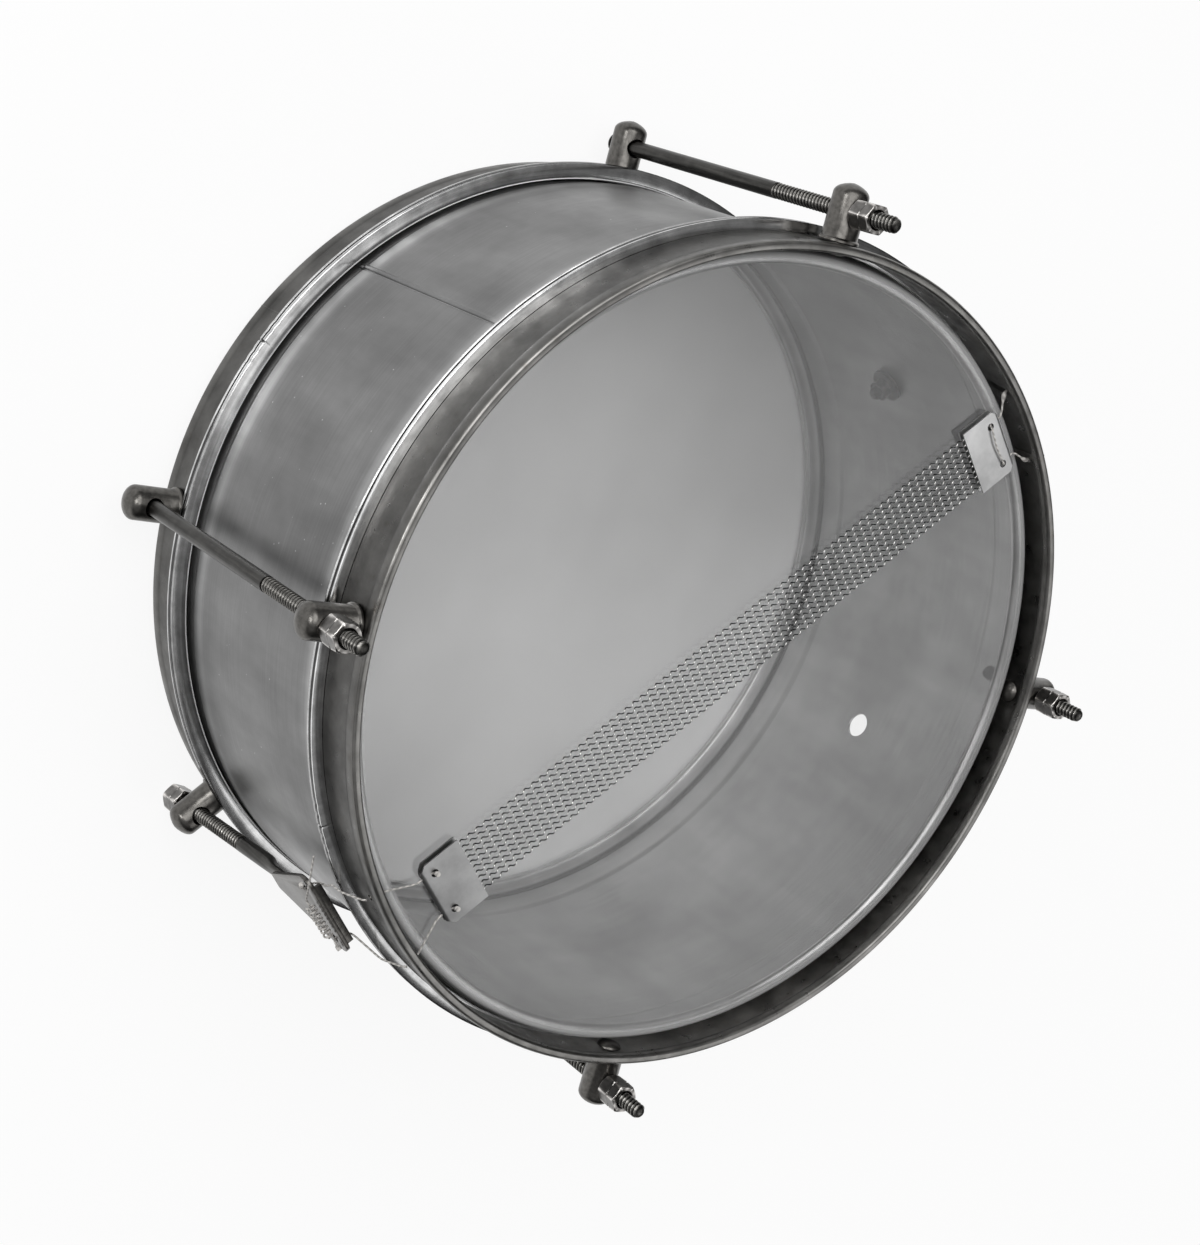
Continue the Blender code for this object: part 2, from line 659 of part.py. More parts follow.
def build_wires():
    """The snare's strands, as plain round rods of the curls' outer size."""
    start = -SNARE_REACH_STRAINER - SNARE_WIRE_GRIP
    end = SNARE_REACH_FAR + SNARE_WIRE_GRIP
    lay = Matrix.Rotation(math.radians(90), 4, "Y")
    for i in range(SNARE_WIRES):
        across = (i - (SNARE_WIRES - 1) / 2) * SNARE_WIRE_PITCH
        place = snare_frame() @ Matrix.Translation(Vector((start, across, wire_height())) * MM) @ lay
        outline = [(0.0, 0.0), (SNARE_WIRE_RADIUS, 0.0), (SNARE_WIRE_RADIUS, end - start), (0.0, end - start)]
        turned_object(f"snare_wire_{i + 1:02d}", outline, "snare_wire", 8, place)


def eased(route, bend):
    """The route's straight legs with every corner rounded off over this length."""
    points = [route[0]]
    for before, corner, after in zip(route, route[1:], route[2:]):
        reach = min(bend, (corner - before).length / 2, (after - corner).length / 2)
        start = corner + (before - corner).normalized() * reach
        end = corner + (after - corner).normalized() * reach
        if (start - points[-1]).length < 0.05:
            points.pop()
        for t in (0.0, 0.5, 1.0):
            points.append(start * (1 - t) ** 2 + corner * 2 * t * (1 - t) + end * t ** 2)
    if (route[-1] - points[-1]).length < 0.05:
        points.pop()
    return points + [route[-1]]


def cord_path(route, bend=2.0, step=3.0):
    """An eased route with a point at least every step."""
    points = eased(route, bend)
    path = []
    for here, ahead in zip(points, points[1:]):
        parts = max(1, round((ahead - here).length / step))
        path += [here.lerp(ahead, i / parts) for i in range(parts)]
    return path + [points[-1]]


def tube(name, points, radius, surface, resolution=2, knot_ends=()):
    """A cord as a round tube with filled caps; a knot swells the named ends."""
    curve = bpy.data.curves.new(name, "CURVE")
    curve.dimensions = "3D"
    curve.bevel_depth = radius * MM
    curve.bevel_resolution = resolution
    curve.use_fill_caps = True
    spline = curve.splines.new("POLY")
    spline.points.add(len(points) - 1)
    for i, point in enumerate(points):
        spline.points[i].co = (*(point * MM), 1.0)
        near_end = (0 in knot_ends and i < 2) or (1 in knot_ends and i >= len(points) - 2)
        spline.points[i].radius = 2.0 if near_end else 1.0
    curve.materials.append(material(surface))
    made = bpy.data.objects.new(name, curve)
    bpy.context.scene.collection.objects.link(made)
    return made


def hoop_point(angle, radius, below_rim):
    return unit(angle) * radius + Vector((0, 0, end_height(below_rim, True)))


def snare_point(x, y, z):
    return (snare_frame() @ (Vector((x, y, z)) * MM)) / MM


def plate_route(side, hand):
    """A cord's way from outside a plate's fold, through it and up out of the hole in its upper leaf."""
    hole = plate_hole_x(side)
    level = wire_height()
    top = plate_levels()[3]
    y = hand * SNARE_HOLE_SPREAD / 2
    steps = (
        (SNARE_HOLE_INSET + 2.0, level),
        (SNARE_HOLE_INSET - 1.5, level),
        (1.5, level + 0.05),
        (0.2, top - 0.5),
        (-0.3, top + 1.0),
    )
    return [snare_point(hole + side * x, y, z) for x, z in steps]


def build_far_cord():
    """One cord: knotted outside the hoop, in through the plate's fold, over its face and back out."""
    inside = flat(HOOP_INSIDE)
    outside = HOOP_RADIUS + BEAD_OUT
    runs = []
    for hand in (-1, 1):
        angle = SNARE_ANGLE + hand * CORD_HOLE_SPREAD
        runs.append([
            hoop_point(angle, outside + 2.4, CORD_BELOW_RIM),
            hoop_point(angle, outside + 1.0, CORD_BELOW_RIM),
            hoop_point(angle, inside - 0.6, CORD_BELOW_RIM),
        ] + plate_route(1, hand))
    bow = snare_point(plate_hole_x(1) - 1.2, 0, plate_levels()[3] + FIT + CORD_RADIUS + 0.35)
    route = runs[0] + [bow] + runs[1][::-1]
    tube("snare_cord_far", cord_path(route), CORD_RADIUS, "white_cord", 2, (0, 1))


def build_near_cords():
    """Two cords from stopper knots in the near plate out through the hoop's wall."""
    inside = flat(HOOP_INSIDE)
    end = flat(HOOP_RADIUS) + FIT
    for name, hand in (("a", 1), ("b", -1)):
        angle = SNARE_ANGLE + 180 - hand * CORD_HOLE_SPREAD
        through = plate_route(-1, hand)[::-1]
        stub = [through[0] + Vector((0, 0, 0.9))]
        wall = [hoop_point(angle, inside - 0.6, CORD_BELOW_RIM), hoop_point(angle, end, CORD_BELOW_RIM)]
        route = stub + through + wall
        tube("snare_cord_" + name, cord_path(route), CORD_RADIUS, "white_cord", 2, (0,))


def yoke_point(x, y, z):
    return (yoke_frame() @ (Vector((x, y, z)) * MM)) / MM


def build_strainer_cords():
    """The same two cords outside the hoop, behind the yoke's flange and out through its web."""
    start = HOOP_RADIUS + BEAD_OUT + 2 * FIT + CORD_RADIUS
    clear = RING_RADIUS + 2 * FIT + CORD_RADIUS
    behind = -YOKE_FLANGE - FIT - CORD_RADIUS
    face = FIT + CORD_RADIUS
    for name, hand in (("a", 1), ("b", -1)):
        angle = SNARE_ANGLE + 180 - hand * CORD_HOLE_SPREAD
        x = -hand * YOKE_HOLE_SPREAD / 2
        y = -YOKE_HOLE_BELOW_FOLD
        route = [
            hoop_point(angle, start, CORD_BELOW_RIM),
            hoop_point(angle, start + 1.0, CORD_BELOW_RIM + 1.5),
            hoop_point(angle, clear + 0.2, HOOP_HEIGHT - 0.5),
            hoop_point(angle, clear + 0.2, HOOP_HEIGHT + RING_HEIGHT + 1.5),
            yoke_point(x, 1.0, behind),
            yoke_point(x, -YOKE_WALL - 1.0, behind),
            yoke_point(x, y, -YOKE_WALL - 1.0),
            yoke_point(x, y, face + 0.2),
            yoke_point(x - hand * 2.6, y + 1.4, face + 0.5),
            yoke_point(x - hand * 3.8, y + 2.2, face + 0.5),
        ]
        tube("strainer_cord_" + name, cord_path(route), CORD_RADIUS, "white_cord", 2, (1,))


def winding_points():
    """A tail, the strand that runs inside the loops, then the loops wound back over it."""
    loop = 2 * CORD_RADIUS + WINDING_GAP
    lift = FIT + loop + CORD_RADIUS
    near = Vector((*WINDING_START, lift))
    far = Vector((*WINDING_END, lift))
    along = (far - near).normalized()
    out = Vector((0, 0, 1))
    side = out.cross(along)
    tail = [Vector(TAIL_END), Vector(TAIL_BEND), far + along * 2.5, near]
    points = cord_path(tail, bend=2.0, step=1.0)
    half = WINDING_POINTS // 2
    for i in range(1, WINDING_TURNS * WINDING_POINTS + 1):
        a = 2 * math.pi * i / WINDING_POINTS
        bend = min(a, math.pi)
        travel = max(0, i - half) / WINDING_POINTS * WINDING_PITCH - loop * math.sin(bend) * 0.7
        radius = loop * (1 - math.cos(bend)) / 2
        points.append(near + along * travel + (out * math.cos(a) + side * math.sin(a)) * radius)
    return [yoke_point(*point) for point in points]


def least_self_gap(points, radius, apart):
    """The least clear distance between stretches of a tube that are this far apart along it."""
    run = [0.0]
    for here, ahead in zip(points, points[1:]):
        run.append(run[-1] + (ahead - here).length)
    pairs = ((i, j) for i in range(len(points)) for j in range(i) if run[i] - run[j] > apart)
    return min((points[i] - points[j]).length for i, j in pairs) - 2 * radius


def build_winding():
    points = winding_points()
    gap = least_self_gap(points, CORD_RADIUS, 4.0)
    print(f"least gap of the winding to itself: {gap:.2f} mm")
    tube("strainer_cord_winding", points, CORD_RADIUS, "white_cord", 1)


def build_shell_bolt():
    """A pan-head bolt through the shell, with a washer and nut inside."""
    height = MIDDLE + BOLT_ABOVE_MIDDLE
    tilt = math.sin(math.pi / SIDES)
    wall_in = flat(SHELL_RADIUS - SHELL_WALL)
    washer_face = wall_in - FIT - BOLT_WASHER_RADIUS * tilt
    nut_face = washer_face - BOLT_WASHER_HEIGHT - FIT
    head_seat = SHELL_RADIUS + FIT + BOLT_HEAD_RADIUS * tilt
    end = nut_face - BOLT_NUT_HEIGHT - BOLT_END
    axis = radial_frame(BOLT_ANGLE, 0.0, height)
    head = BOLT_HEAD_RADIUS
    bolt = [
        (0.0, end),
        (BOLT_RADIUS, end),
        (BOLT_RADIUS, head_seat),
        (head, head_seat),
        (head, head_seat + BOLT_HEAD_HEIGHT * 0.5),
        (head * 0.7, head_seat + BOLT_HEAD_HEIGHT),
        (0.0, head_seat + BOLT_HEAD_HEIGHT),
    ]
    turned_object("shell_bolt", bolt, "dark_steel", 12, axis)
    bore = BOLT_RADIUS + FIT
    low = washer_face - BOLT_WASHER_HEIGHT
    wide = BOLT_WASHER_RADIUS
    washer = [(bore, low), (wide, low), (wide, washer_face), (bore, washer_face)]
    turned_object("shell_bolt_washer", washer, "nut_steel", 16, axis)
    foot = axis @ Matrix.Translation((0, 0, (nut_face - BOLT_NUT_HEIGHT) * MM))
    build_nut("shell_bolt_nut", foot, BOLT_NUT_FLATS, BOLT_NUT_HEIGHT, bore)


def main():
    for old in list(bpy.data.objects):
        bpy.data.objects.remove(old, do_unlink=True)
    build_shell()
    spreads = (-CORD_HOLE_SPREAD, CORD_HOLE_SPREAD)
    build_hoop(True, [SNARE_ANGLE + turn + spread for turn in (0, 180) for spread in spreads])
    build_hoop(False, [])
    for upper in (True, False):
        build_head(upper)
        build_ring(upper)
    for name, angle in LUG_ANGLES.items():
        build_lug("upper_" + name, angle, True)
        build_lug("lower_" + name, angle, False)
        build_rod(name, angle)
        build_tension_nut(name, angle)
    build_lug("strainer", STRAINER_ANGLE, False, STRAINER_LEAN)
    build_strainer_rod()
    build_strainer_nut()
    build_yoke()
    build_snare_plate("snare_plate_far", 1)
    build_snare_plate("snare_plate_near", -1)
    build_wires()
    build_far_cord()
    build_near_cords()
    build_strainer_cords()
    build_winding()
    build_shell_bolt()


main()
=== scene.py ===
"""Finishes and fine shapes of a samba snare drum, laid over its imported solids."""
import math

import bmesh
import bpy
from bpy.props import FloatProperty, FloatVectorProperty, IntProperty, PointerProperty
from mathutils import Matrix, Vector


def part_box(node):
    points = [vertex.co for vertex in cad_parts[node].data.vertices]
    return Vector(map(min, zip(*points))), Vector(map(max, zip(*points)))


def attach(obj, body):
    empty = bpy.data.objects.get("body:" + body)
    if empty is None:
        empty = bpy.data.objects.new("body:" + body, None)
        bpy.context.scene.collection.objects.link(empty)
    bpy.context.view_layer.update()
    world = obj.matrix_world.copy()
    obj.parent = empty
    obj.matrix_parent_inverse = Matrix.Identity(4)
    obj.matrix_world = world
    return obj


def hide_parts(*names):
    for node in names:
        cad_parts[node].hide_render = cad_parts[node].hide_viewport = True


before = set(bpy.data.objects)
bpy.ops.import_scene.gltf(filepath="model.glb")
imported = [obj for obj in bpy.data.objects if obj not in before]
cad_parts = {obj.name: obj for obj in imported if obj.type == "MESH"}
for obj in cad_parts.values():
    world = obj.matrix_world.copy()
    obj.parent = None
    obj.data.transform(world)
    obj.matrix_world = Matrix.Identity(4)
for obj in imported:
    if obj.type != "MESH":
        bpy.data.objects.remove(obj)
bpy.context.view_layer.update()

bl_info = {
    "name": "Samba Snare Drum",
    "version": (1, 0, 0),
    "blender": (4, 5, 0),
    "location": "3D View > Sidebar > Drum",
    "description": "Builds the visible pieces of a rod-tensioned snare drum over its packed solids",
    "category": "Object",
}

# The drum's own lines, in millimetres and degrees; a depth is measured from the nearer rim

MM = 0.001
UP = Vector((0.0, 0.0, 1.0))
GAP = 0.3
FACET = math.cos(math.pi / 48)  # the flat of a 48-sided solid, as a share of its corner's radius
UPPER_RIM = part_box("counterhoop_upper")[1].z / MM
LOWER_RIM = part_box("counterhoop_lower")[0].z / MM
MIDDLE = (UPPER_RIM + LOWER_RIM) / 2
HOOP_HEIGHT = UPPER_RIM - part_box("counterhoop_upper")[0].z / MM
RING_TOP = UPPER_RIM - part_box("flesh_hoop_upper")[1].z / MM
RING_HEIGHT = (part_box("flesh_hoop_upper")[1].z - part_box("flesh_hoop_upper")[0].z) / MM
CREST = UPPER_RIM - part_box("shell")[1].z / MM
FILM_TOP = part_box("head_upper")[1].z / MM
ROD_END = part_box("tension_rod_right")[1].z / MM

CREST_INSET = 3.9
CREST_HEIGHT = 6.7
FILM_FLARE = 0.95
BEAD_OUT = 0.4
BEAD_IN = 1.3
BEAD_ROUND = 1.3
RIVET_BORE = 2.6
CORD_BORE = 1.2
SHELL_STEP = 19.0  # from a crest to the step of its drawn-in end
DENT = (208.5, 79.5)  # its angle and height
HOLE_ANGLES = (-15.6, 42.7)  # the vent's and the shell bolt's
HOLE_HEIGHTS = (-1.6, -5.3)  # over the middle
HOLE_REACH = (140.0, 160.0)  # a cutter's ends, inside and outside the sheet
BOLT_BORE = 2.8
LUG_NAMES = ("right", "top", "left", "bottom")
LUG_DEPTH = 10.5
ROD_REACH = 11.4  # from a band's outside to a rod's axis
THREAD_START = 113.1
CORD_TURN = 6.2  # from the snare's direction to a cord's hole in the hoop
CORD_DEPTH = 8.2

STRAINER_ANGLE = 225.0
LEAN_SIDE = math.radians(2.1)
LEAN_IN = math.radians(3.0)
YOKE_RISE = 110.5  # from the lug along the rod
YOKE_OUT = 4.2
YOKE_HALF = 20.5
YOKE_TIP = 3.6
YOKE_LENGTH = 39.0
YOKE_CORNER = 4.5
YOKE_WEB = 1.5
YOKE_FLANGE = 3.9
YOKE_HOLE = (12.4, 5.8)  # from its middle and from its fold

WIRE_LEVEL = 1.85  # over the film
STRAND_SPACING = 2.5
STRAND_OVERLAP = 9.0  # of a strand's end and its plate
FAR_REACH = 127.0
NEAR_REACH = 118.0
PLATE_LENGTH = 17.5
PLATE_HALF = 14.0
FOLD = 1.55
FOLD_INSIDE = 0.95
PLATE_TOP = WIRE_LEVEL + FOLD
PLATE_HOLE = (8.75, 5.0)  # from the plate's middle and from its fold

# The camera stands where the photograph was taken from; a lamp's width and place are in metres
CAMERA_PLACE = (-569.0, 180.1, 798.5)
CAMERA_AXES = ((0.78927, 0.25879, 0.5569), (-0.08595, 0.94448, -0.3171), (-0.60804, 0.20241, 0.7677))
LAMPS = (("key", 1.5, (-0.55, 0.75, 1.3)), ("fill", 1.2, (0.9, -0.4, 1.1)), ("rim", 0.35, (-1.1, 0.25, 0.55)))
LAMP_TARGET = (0.0, 0.0, 0.1)


# Properties

def linear(hex_colour):
    """An sRGB hex colour as linear RGBA."""
    parts = [int(hex_colour[i:i + 2], 16) / 255 for i in (1, 3, 5)]
    return (*[p / 12.92 if p <= 0.04045 else ((p + 0.055) / 1.055) ** 2.4 for p in parts], 1.0)


def size(name, default, about):
    """A length in millimetres for the panel."""
    return FloatProperty(name=name, description=about + ", in mm", default=default, min=0.0)


def angle(name, default, about):
    """An angle in degrees for the panel."""
    return FloatProperty(name=name, description=about + ", in degrees", default=default)


def colour(name, default, about):
    """A colour for the panel, from its sRGB hex value."""
    return FloatVectorProperty(name=name, description=about, default=linear(default), size=4, subtype="COLOR",
                               min=0.0, max=1.0)


def power(name, default, about):
    """A lamp's power for the panel."""
    return FloatProperty(name=name, description=about, default=default, min=0.0, unit="POWER")


class DRUM_PG_shell(bpy.types.PropertyGroup):
    """Sheet shell and its bolt"""
    radius: size("Radius", 152.4, "Outer radius of the sheet between its drawn-in ends")
    wall: size("Wall", 1.0, "Thickness of the sheet")
    step: size("Step", 1.0, "How much narrower the ends are")
    seam_angle: angle("Seam angle", 138.3, "Where the sheet's ends meet")
    vent_radius: size("Vent radius", 5.0, "Radius of the air hole")
    metal: colour("Sheet", "#929292", "Satin aluminium sheet")
    bolt: colour("Bolt", "#222120", "Blackened steel of the bolt, its washer and its nut")


class DRUM_PG_heads(bpy.types.PropertyGroup):
    """Two films"""
    film: size("Film", 0.4, "Thickness of a head")
    clear: colour("Upper head", "#E8E8E8", "Clear film")
    pale: colour("Lower head", "#F0F0F0", "Pale film")


class DRUM_PG_hoops(bpy.types.PropertyGroup):
    """Counterhoops and flesh hoops"""
    radius: size("Band radius", 154.6, "Outer radius of a counterhoop's band")
    wall: size("Band wall", 1.8, "Thickness of a counterhoop's band")
    bead_height: size("Bead height", 5.2, "Height of the rolled rim")
    ring_radius: size("Flesh hoop radius", 158.6, "Outer radius of a flesh hoop")
    steel: colour("Counterhoop", "#6A6967", "Rolled steel with oil stains")
    aluminium: colour("Flesh hoop", "#DADADA", "Drawn aluminium")


class DRUM_PG_fittings(bpy.types.PropertyGroup):
    """Lugs, rods and nuts"""
    lug_radius: size("Lug radius", 6.5, "Radius of a lug's barrel")
    lug_length: size("Lug length", 21.0, "Length of a lug from its seat")
    rod_radius: size("Rod radius", 3.0, "Radius of a tension rod")
    pitch: size("Thread pitch", 1.8, "Pitch of the drawn thread: the real 1.27 mm is too fine to show")
    nut_flats: size("Nut", 10.0, "Width across a nut's flats")
    nut_height: size("Nut height", 10.0, "Height of a nut")
    dark: colour("Lugs", "#64625F", "Oiled steel")
    rod: colour("Rods", "#464543", "Grey steel rod")
    nut: colour("Nuts", "#7A7876", "Turned steel")


class DRUM_PG_snare(bpy.types.PropertyGroup):
    """Strands, plates and cords"""
    angle: angle("Snare angle", 43.5, "Direction of the strands")
    strands: IntProperty(name="Strands", description="Number of coiled wires", default=10, min=1)
    coils: IntProperty(name="Coils", description="Coils in each strand", default=73, min=10)
    wire: size("Wire radius", 0.24, "Radius of the coiled wire")
    coil: size("Coil radius", 0.5, "Radius of a coil's centre line")
    plate: colour("Far plate", "#C6C6C6", "Tinned sheet")
    dull_plate: colour("Near plate", "#9A9A9A", "Tinned sheet, dulled by handling")
    spring: colour("Strands", "#DADAD8", "Bright spring wire")
    cord: colour("Cord", "#C4C1BD", "Twisted white cord")
    cord_radius: size("Cord radius", 0.37, "Radius of the cords")


class DRUM_PG_stage(bpy.types.PropertyGroup):
    """Camera and lamps"""
    lens: FloatProperty(name="Lens", description="Focal length on a 36 mm long side", default=70.44, min=1.0,
                        unit="CAMERA")
    key: power("Key", 13.0, "Power of the large soft lamp")
    fill: power("Fill", 5.0, "Power of the second soft lamp")
    rim: power("Rim", 3.0, "Power of the small lamp at the strainer's side")


GROUPS = {
    "drum_shell": DRUM_PG_shell,
    "drum_heads": DRUM_PG_heads,
    "drum_hoops": DRUM_PG_hoops,
    "drum_fittings": DRUM_PG_fittings,
    "drum_snare": DRUM_PG_snare,
    "drum_stage": DRUM_PG_stage,
}


def settings(group):
    """The scene's values of a property group."""
    return getattr(bpy.context.scene, group)


# Nodes and materials

MULTIPLY = {"data_type": "RGBA", "blend_type": "MULTIPLY", "clamp_result": True}


def feed(tree, node, **links):
    """Sets or links a node's inputs, each named with _ for its spaces, or by its index after an i."""
    for key, value in links.items():
        index = key[1:].isdigit() and key[0] == "i"
        socket = node.inputs[int(key[1:])] if index else node.inputs[key.replace("_", " ")]
        if isinstance(value, bpy.types.NodeSocket):
            tree.links.new(value, socket)
        else:
            socket.default_value = value


def add(tree, kind, options=None, **links):
    """Adds a node with its settings and links."""
    node = tree.nodes.new(kind)
    for key, value in (options or {}).items():
        setattr(node, key, value)
    feed(tree, node, **links)
    return node


def ends_of(ramp, low, high, dark, light):
    """Sets both ends of a colour ramp's band and gives its output."""
    for end, place, tone in zip(ramp.color_ramp.elements, (low, high), (dark, light)):
        end.position = place
        end.color = tone
    return ramp.outputs["Color"]


def new_material(name, base, roughness, metallic, **sockets):
    """A Principled material with its tree and shader."""
    made = bpy.data.materials.new(name)
    made.use_nodes = True
    shader = made.node_tree.nodes["Principled BSDF"]
    feed(made.node_tree, shader, Base_Color=base, Roughness=roughness, Metallic=metallic, **sockets)
    return made, made.node_tree, shader


def place_mm(tree, scale=(1.0, 1.0, 1.0), uv=False):
    """Object coordinates, or the piece's own UV, in millimetres and stretched."""
    source = add(tree, "ShaderNodeTexCoord").outputs["UV" if uv else "Object"]
    return add(tree, "ShaderNodeMapping", Vector=source, Scale=[s / MM for s in scale]).outputs["Vector"]


def mottle(tree, vector, grain_mm, low, high, dark, light, detail=4.0):
    """Two tones mixed by noise of this grain."""
    field = add(tree, "ShaderNodeTexNoise", Vector=vector, Scale=1 / grain_mm, Detail=detail, Roughness=0.6)
    return ends_of(add(tree, "ShaderNodeValToRGB", Fac=field.outputs["Fac"]), low, high, dark, light)


def tones(base, dark, light):
    """A base colour made darker and lighter by these factors."""
    r, g, b, _ = base
    return (r * dark, g * dark, b * dark, 1.0), (min(1, r * light), min(1, g * light), min(1, b * light), 1.0)


def grey(level):
    """A grey of this linear brightness."""
    return (level, level, level, 1.0)


def by_painted_light(tree, tone, painted_shade, painted_sheen):
    """The tone as it is where a point's value of painted light and shade is a half, and times these two
    factors at 0 and 1: painted shade below the half and a painted highlight above it.
    """
    wear = add(tree, "ShaderNodeAttribute", {"attribute_name": "wear"})
    ramp = add(tree, "ShaderNodeValToRGB", Fac=wear.outputs["Fac"])
    factor = ends_of(ramp, 0.0, 1.0, grey(painted_shade), grey(painted_sheen))
    ramp.color_ramp.elements.new(0.5).color = grey(1.0)
    return add(tree, "ShaderNodeMix", MULTIPLY, i0=1.0, i6=tone, i7=factor).outputs[2]


def satin_sheet(name, base):
    """Rolled aluminium sheet: broad soft reflections, brushing round the drum, dull stains and dust."""
    made, tree, shader = new_material(name, base, 0.4, 1.0)
    stain = mottle(tree, place_mm(tree), 60.0, 0.35, 0.7, *tones(base, 0.72, 1.12))
    streak = mottle(tree, place_mm(tree, (1.0, 1.0, 0.12)), 16.0, 0.3, 0.72, grey(0.8), grey(1.0), detail=5.0)
    brush = mottle(tree, place_mm(tree, (0.02, 1.0, 1.0), uv=True), 0.9, 0.3, 0.75, grey(0.84), grey(1.0))
    tone = add(tree, "ShaderNodeMix", MULTIPLY, i0=1.0, i6=stain, i7=streak).outputs[2]
    tone = add(tree, "ShaderNodeMix", MULTIPLY, i0=1.0, i6=tone, i7=brush).outputs[2]
    # Painted highlights and painted shade that the sheet's points carry multiply the tone here
    tone = by_painted_light(tree, tone, 0.25, 3.0)
    specks = add(tree, "ShaderNodeTexVoronoi", Vector=place_mm(tree), Scale=1 / 6.0)
    dust = add(tree, "ShaderNodeMapRange", i0=specks.outputs["Distance"], i1=0.06, i2=0.03)
    tone = add(tree, "ShaderNodeMix", {"data_type": "RGBA"}, i0=dust.outputs["Result"], i6=tone, i7=grey(0.5))
    rough = mottle(tree, place_mm(tree), 25.0, 0.3, 0.75, grey(0.32), grey(0.48))
    relief = add(tree, "ShaderNodeBump", Height=brush, Strength=0.12, Distance=0.05 * MM)
    feed(tree, shader, Base_Color=tone.outputs[2], Roughness=rough, Normal=relief.outputs["Normal"])
    return made


def stained_steel(name, base):
    """Oiled hot-rolled steel: dark, blotched, with faint brown spots and fine pits, and with painted
    highlights and painted shade that its points carry.
    """
    made, tree, shader = new_material(name, base, 0.34, 1.0)
    blotch = mottle(tree, place_mm(tree), 19.0, 0.3, 0.72, *tones(base, 0.5, 1.25), detail=9.0)
    rust = (0.62, 0.52, 0.44, 1.0)
    brown = mottle(tree, place_mm(tree, (1.3, 0.9, 1.1)), 7.0, 0.6, 0.78, grey(1.0), rust, detail=6.0)
    tone = add(tree, "ShaderNodeMix", MULTIPLY, i0=0.5, i6=blotch, i7=brown).outputs[2]
    # Painted highlights and painted shade that the band's points carry
    tone = by_painted_light(tree, tone, 0.3, 4.0)
    rough = mottle(tree, place_mm(tree), 6.0, 0.3, 0.7, grey(0.24), grey(0.46), detail=6.0)
    pits = add(tree, "ShaderNodeTexNoise", Vector=place_mm(tree), Scale=1 / 1.4, Detail=6.0)
    relief = add(tree, "ShaderNodeBump", Height=pits.outputs["Fac"], Strength=0.2, Distance=0.1 * MM)
    feed(tree, shader, Base_Color=tone, Roughness=rough, Normal=relief.outputs["Normal"])
    return made


def drawn_aluminium(name, base):
    """Drawn aluminium section: bright, with fine lines along its length, painted shade in its grooves and a
    painted highlight on one side.
    """
    made, tree, shader = new_material(name, base, 0.17, 1.0)
    marks = mottle(tree, place_mm(tree), 9.0, 0.3, 0.7, *tones(base, 0.6, 1.15), detail=6.0)
    lines = mottle(tree, place_mm(tree, (0.01, 1.0, 1.0), uv=True), 0.7, 0.3, 0.7, grey(0.7), grey(1.0))
    tone = add(tree, "ShaderNodeMix", MULTIPLY, i0=0.85, i6=marks, i7=lines).outputs[2]
    tone = by_painted_light(tree, tone, 0.06, 2.0)
    relief = add(tree, "ShaderNodeBump", Height=lines, Strength=0.2, Distance=0.05 * MM)
    feed(tree, shader, Base_Color=tone, Normal=relief.outputs["Normal"])
    return made


def worn_steel(name, base, grain_mm, roughness):
    """Machined steel that has been handled: blotched, with painted shade in hollows and painted highlights on
    edges where its points carry them.
    """
    made, tree, shader = new_material(name, base, roughness, 1.0)
    spots = mottle(tree, place_mm(tree), grain_mm, 0.3, 0.75, *tones(base, 0.6, 1.35), detail=7.0)
    tone = by_painted_light(tree, spots, 0.2, 4.5)
    grit = add(tree, "ShaderNodeTexNoise", Vector=place_mm(tree), Scale=1 / 0.5, Detail=4.0)
    relief = add(tree, "ShaderNodeBump", Height=grit.outputs["Fac"], Strength=0.18, Distance=0.06 * MM)
    feed(tree, shader, Base_Color=tone, Normal=relief.outputs["Normal"])
    return made


def threaded_steel(name, base):
    """Cold-drawn steel rod with a rolled thread: drawing lines, painted shade in the roots and painted
    highlights on the crests.
    """
    made, tree, shader = new_material(name, base, 0.32, 1.0)
    drawn = mottle(tree, place_mm(tree, (1.0, 1.0, 0.05)), 1.2, 0.3, 0.72, *tones(base, 0.5, 1.6), detail=5.0)
    spots = mottle(tree, place_mm(tree), 4.0, 0.3, 0.7, grey(0.6), grey(1.0), detail=6.0)
    tone = add(tree, "ShaderNodeMix", MULTIPLY, i0=0.8, i6=drawn, i7=spots).outputs[2]
    feed(tree, shader, Base_Color=by_painted_light(tree, tone, 0.08, 7.0))
    return made


def spring_wire(name, base):
    """Coiled spring steel in its own bright colour on the tops of the coils, with painted shade on their
    undersides.
    """
    made, tree, shader = new_material(name, base, 0.25, 1.0)
    height = add(tree, "ShaderNodeSeparateXYZ", Vector=place_mm(tree)).outputs["Z"]
    axis = FILM_TOP + WIRE_LEVEL
    # Painted shade, near black up to just above the coils' axis, giving way to the wire's own colour on top
    rise = add(tree, "ShaderNodeMapRange", i0=height, i1=axis + 0.15, i2=axis + 0.65)
    ramp = add(tree, "ShaderNodeValToRGB", Fac=rise.outputs["Result"])
    feed(tree, shader, Base_Color=ends_of(ramp, 0.0, 1.0, grey(0.006), base))
    return made


def hazy_film(name, base):
    """Sand-blasted polyester film: pale, with broad handling marks."""
    made, tree, shader = new_material(name, base, 0.3, 0.0, IOR=1.5)
    haze = mottle(tree, place_mm(tree), 110.0, 0.3, 0.7, *tones(base, 0.8, 1.0), detail=3.0)
    feed(tree, shader, Base_Color=haze)
    return made


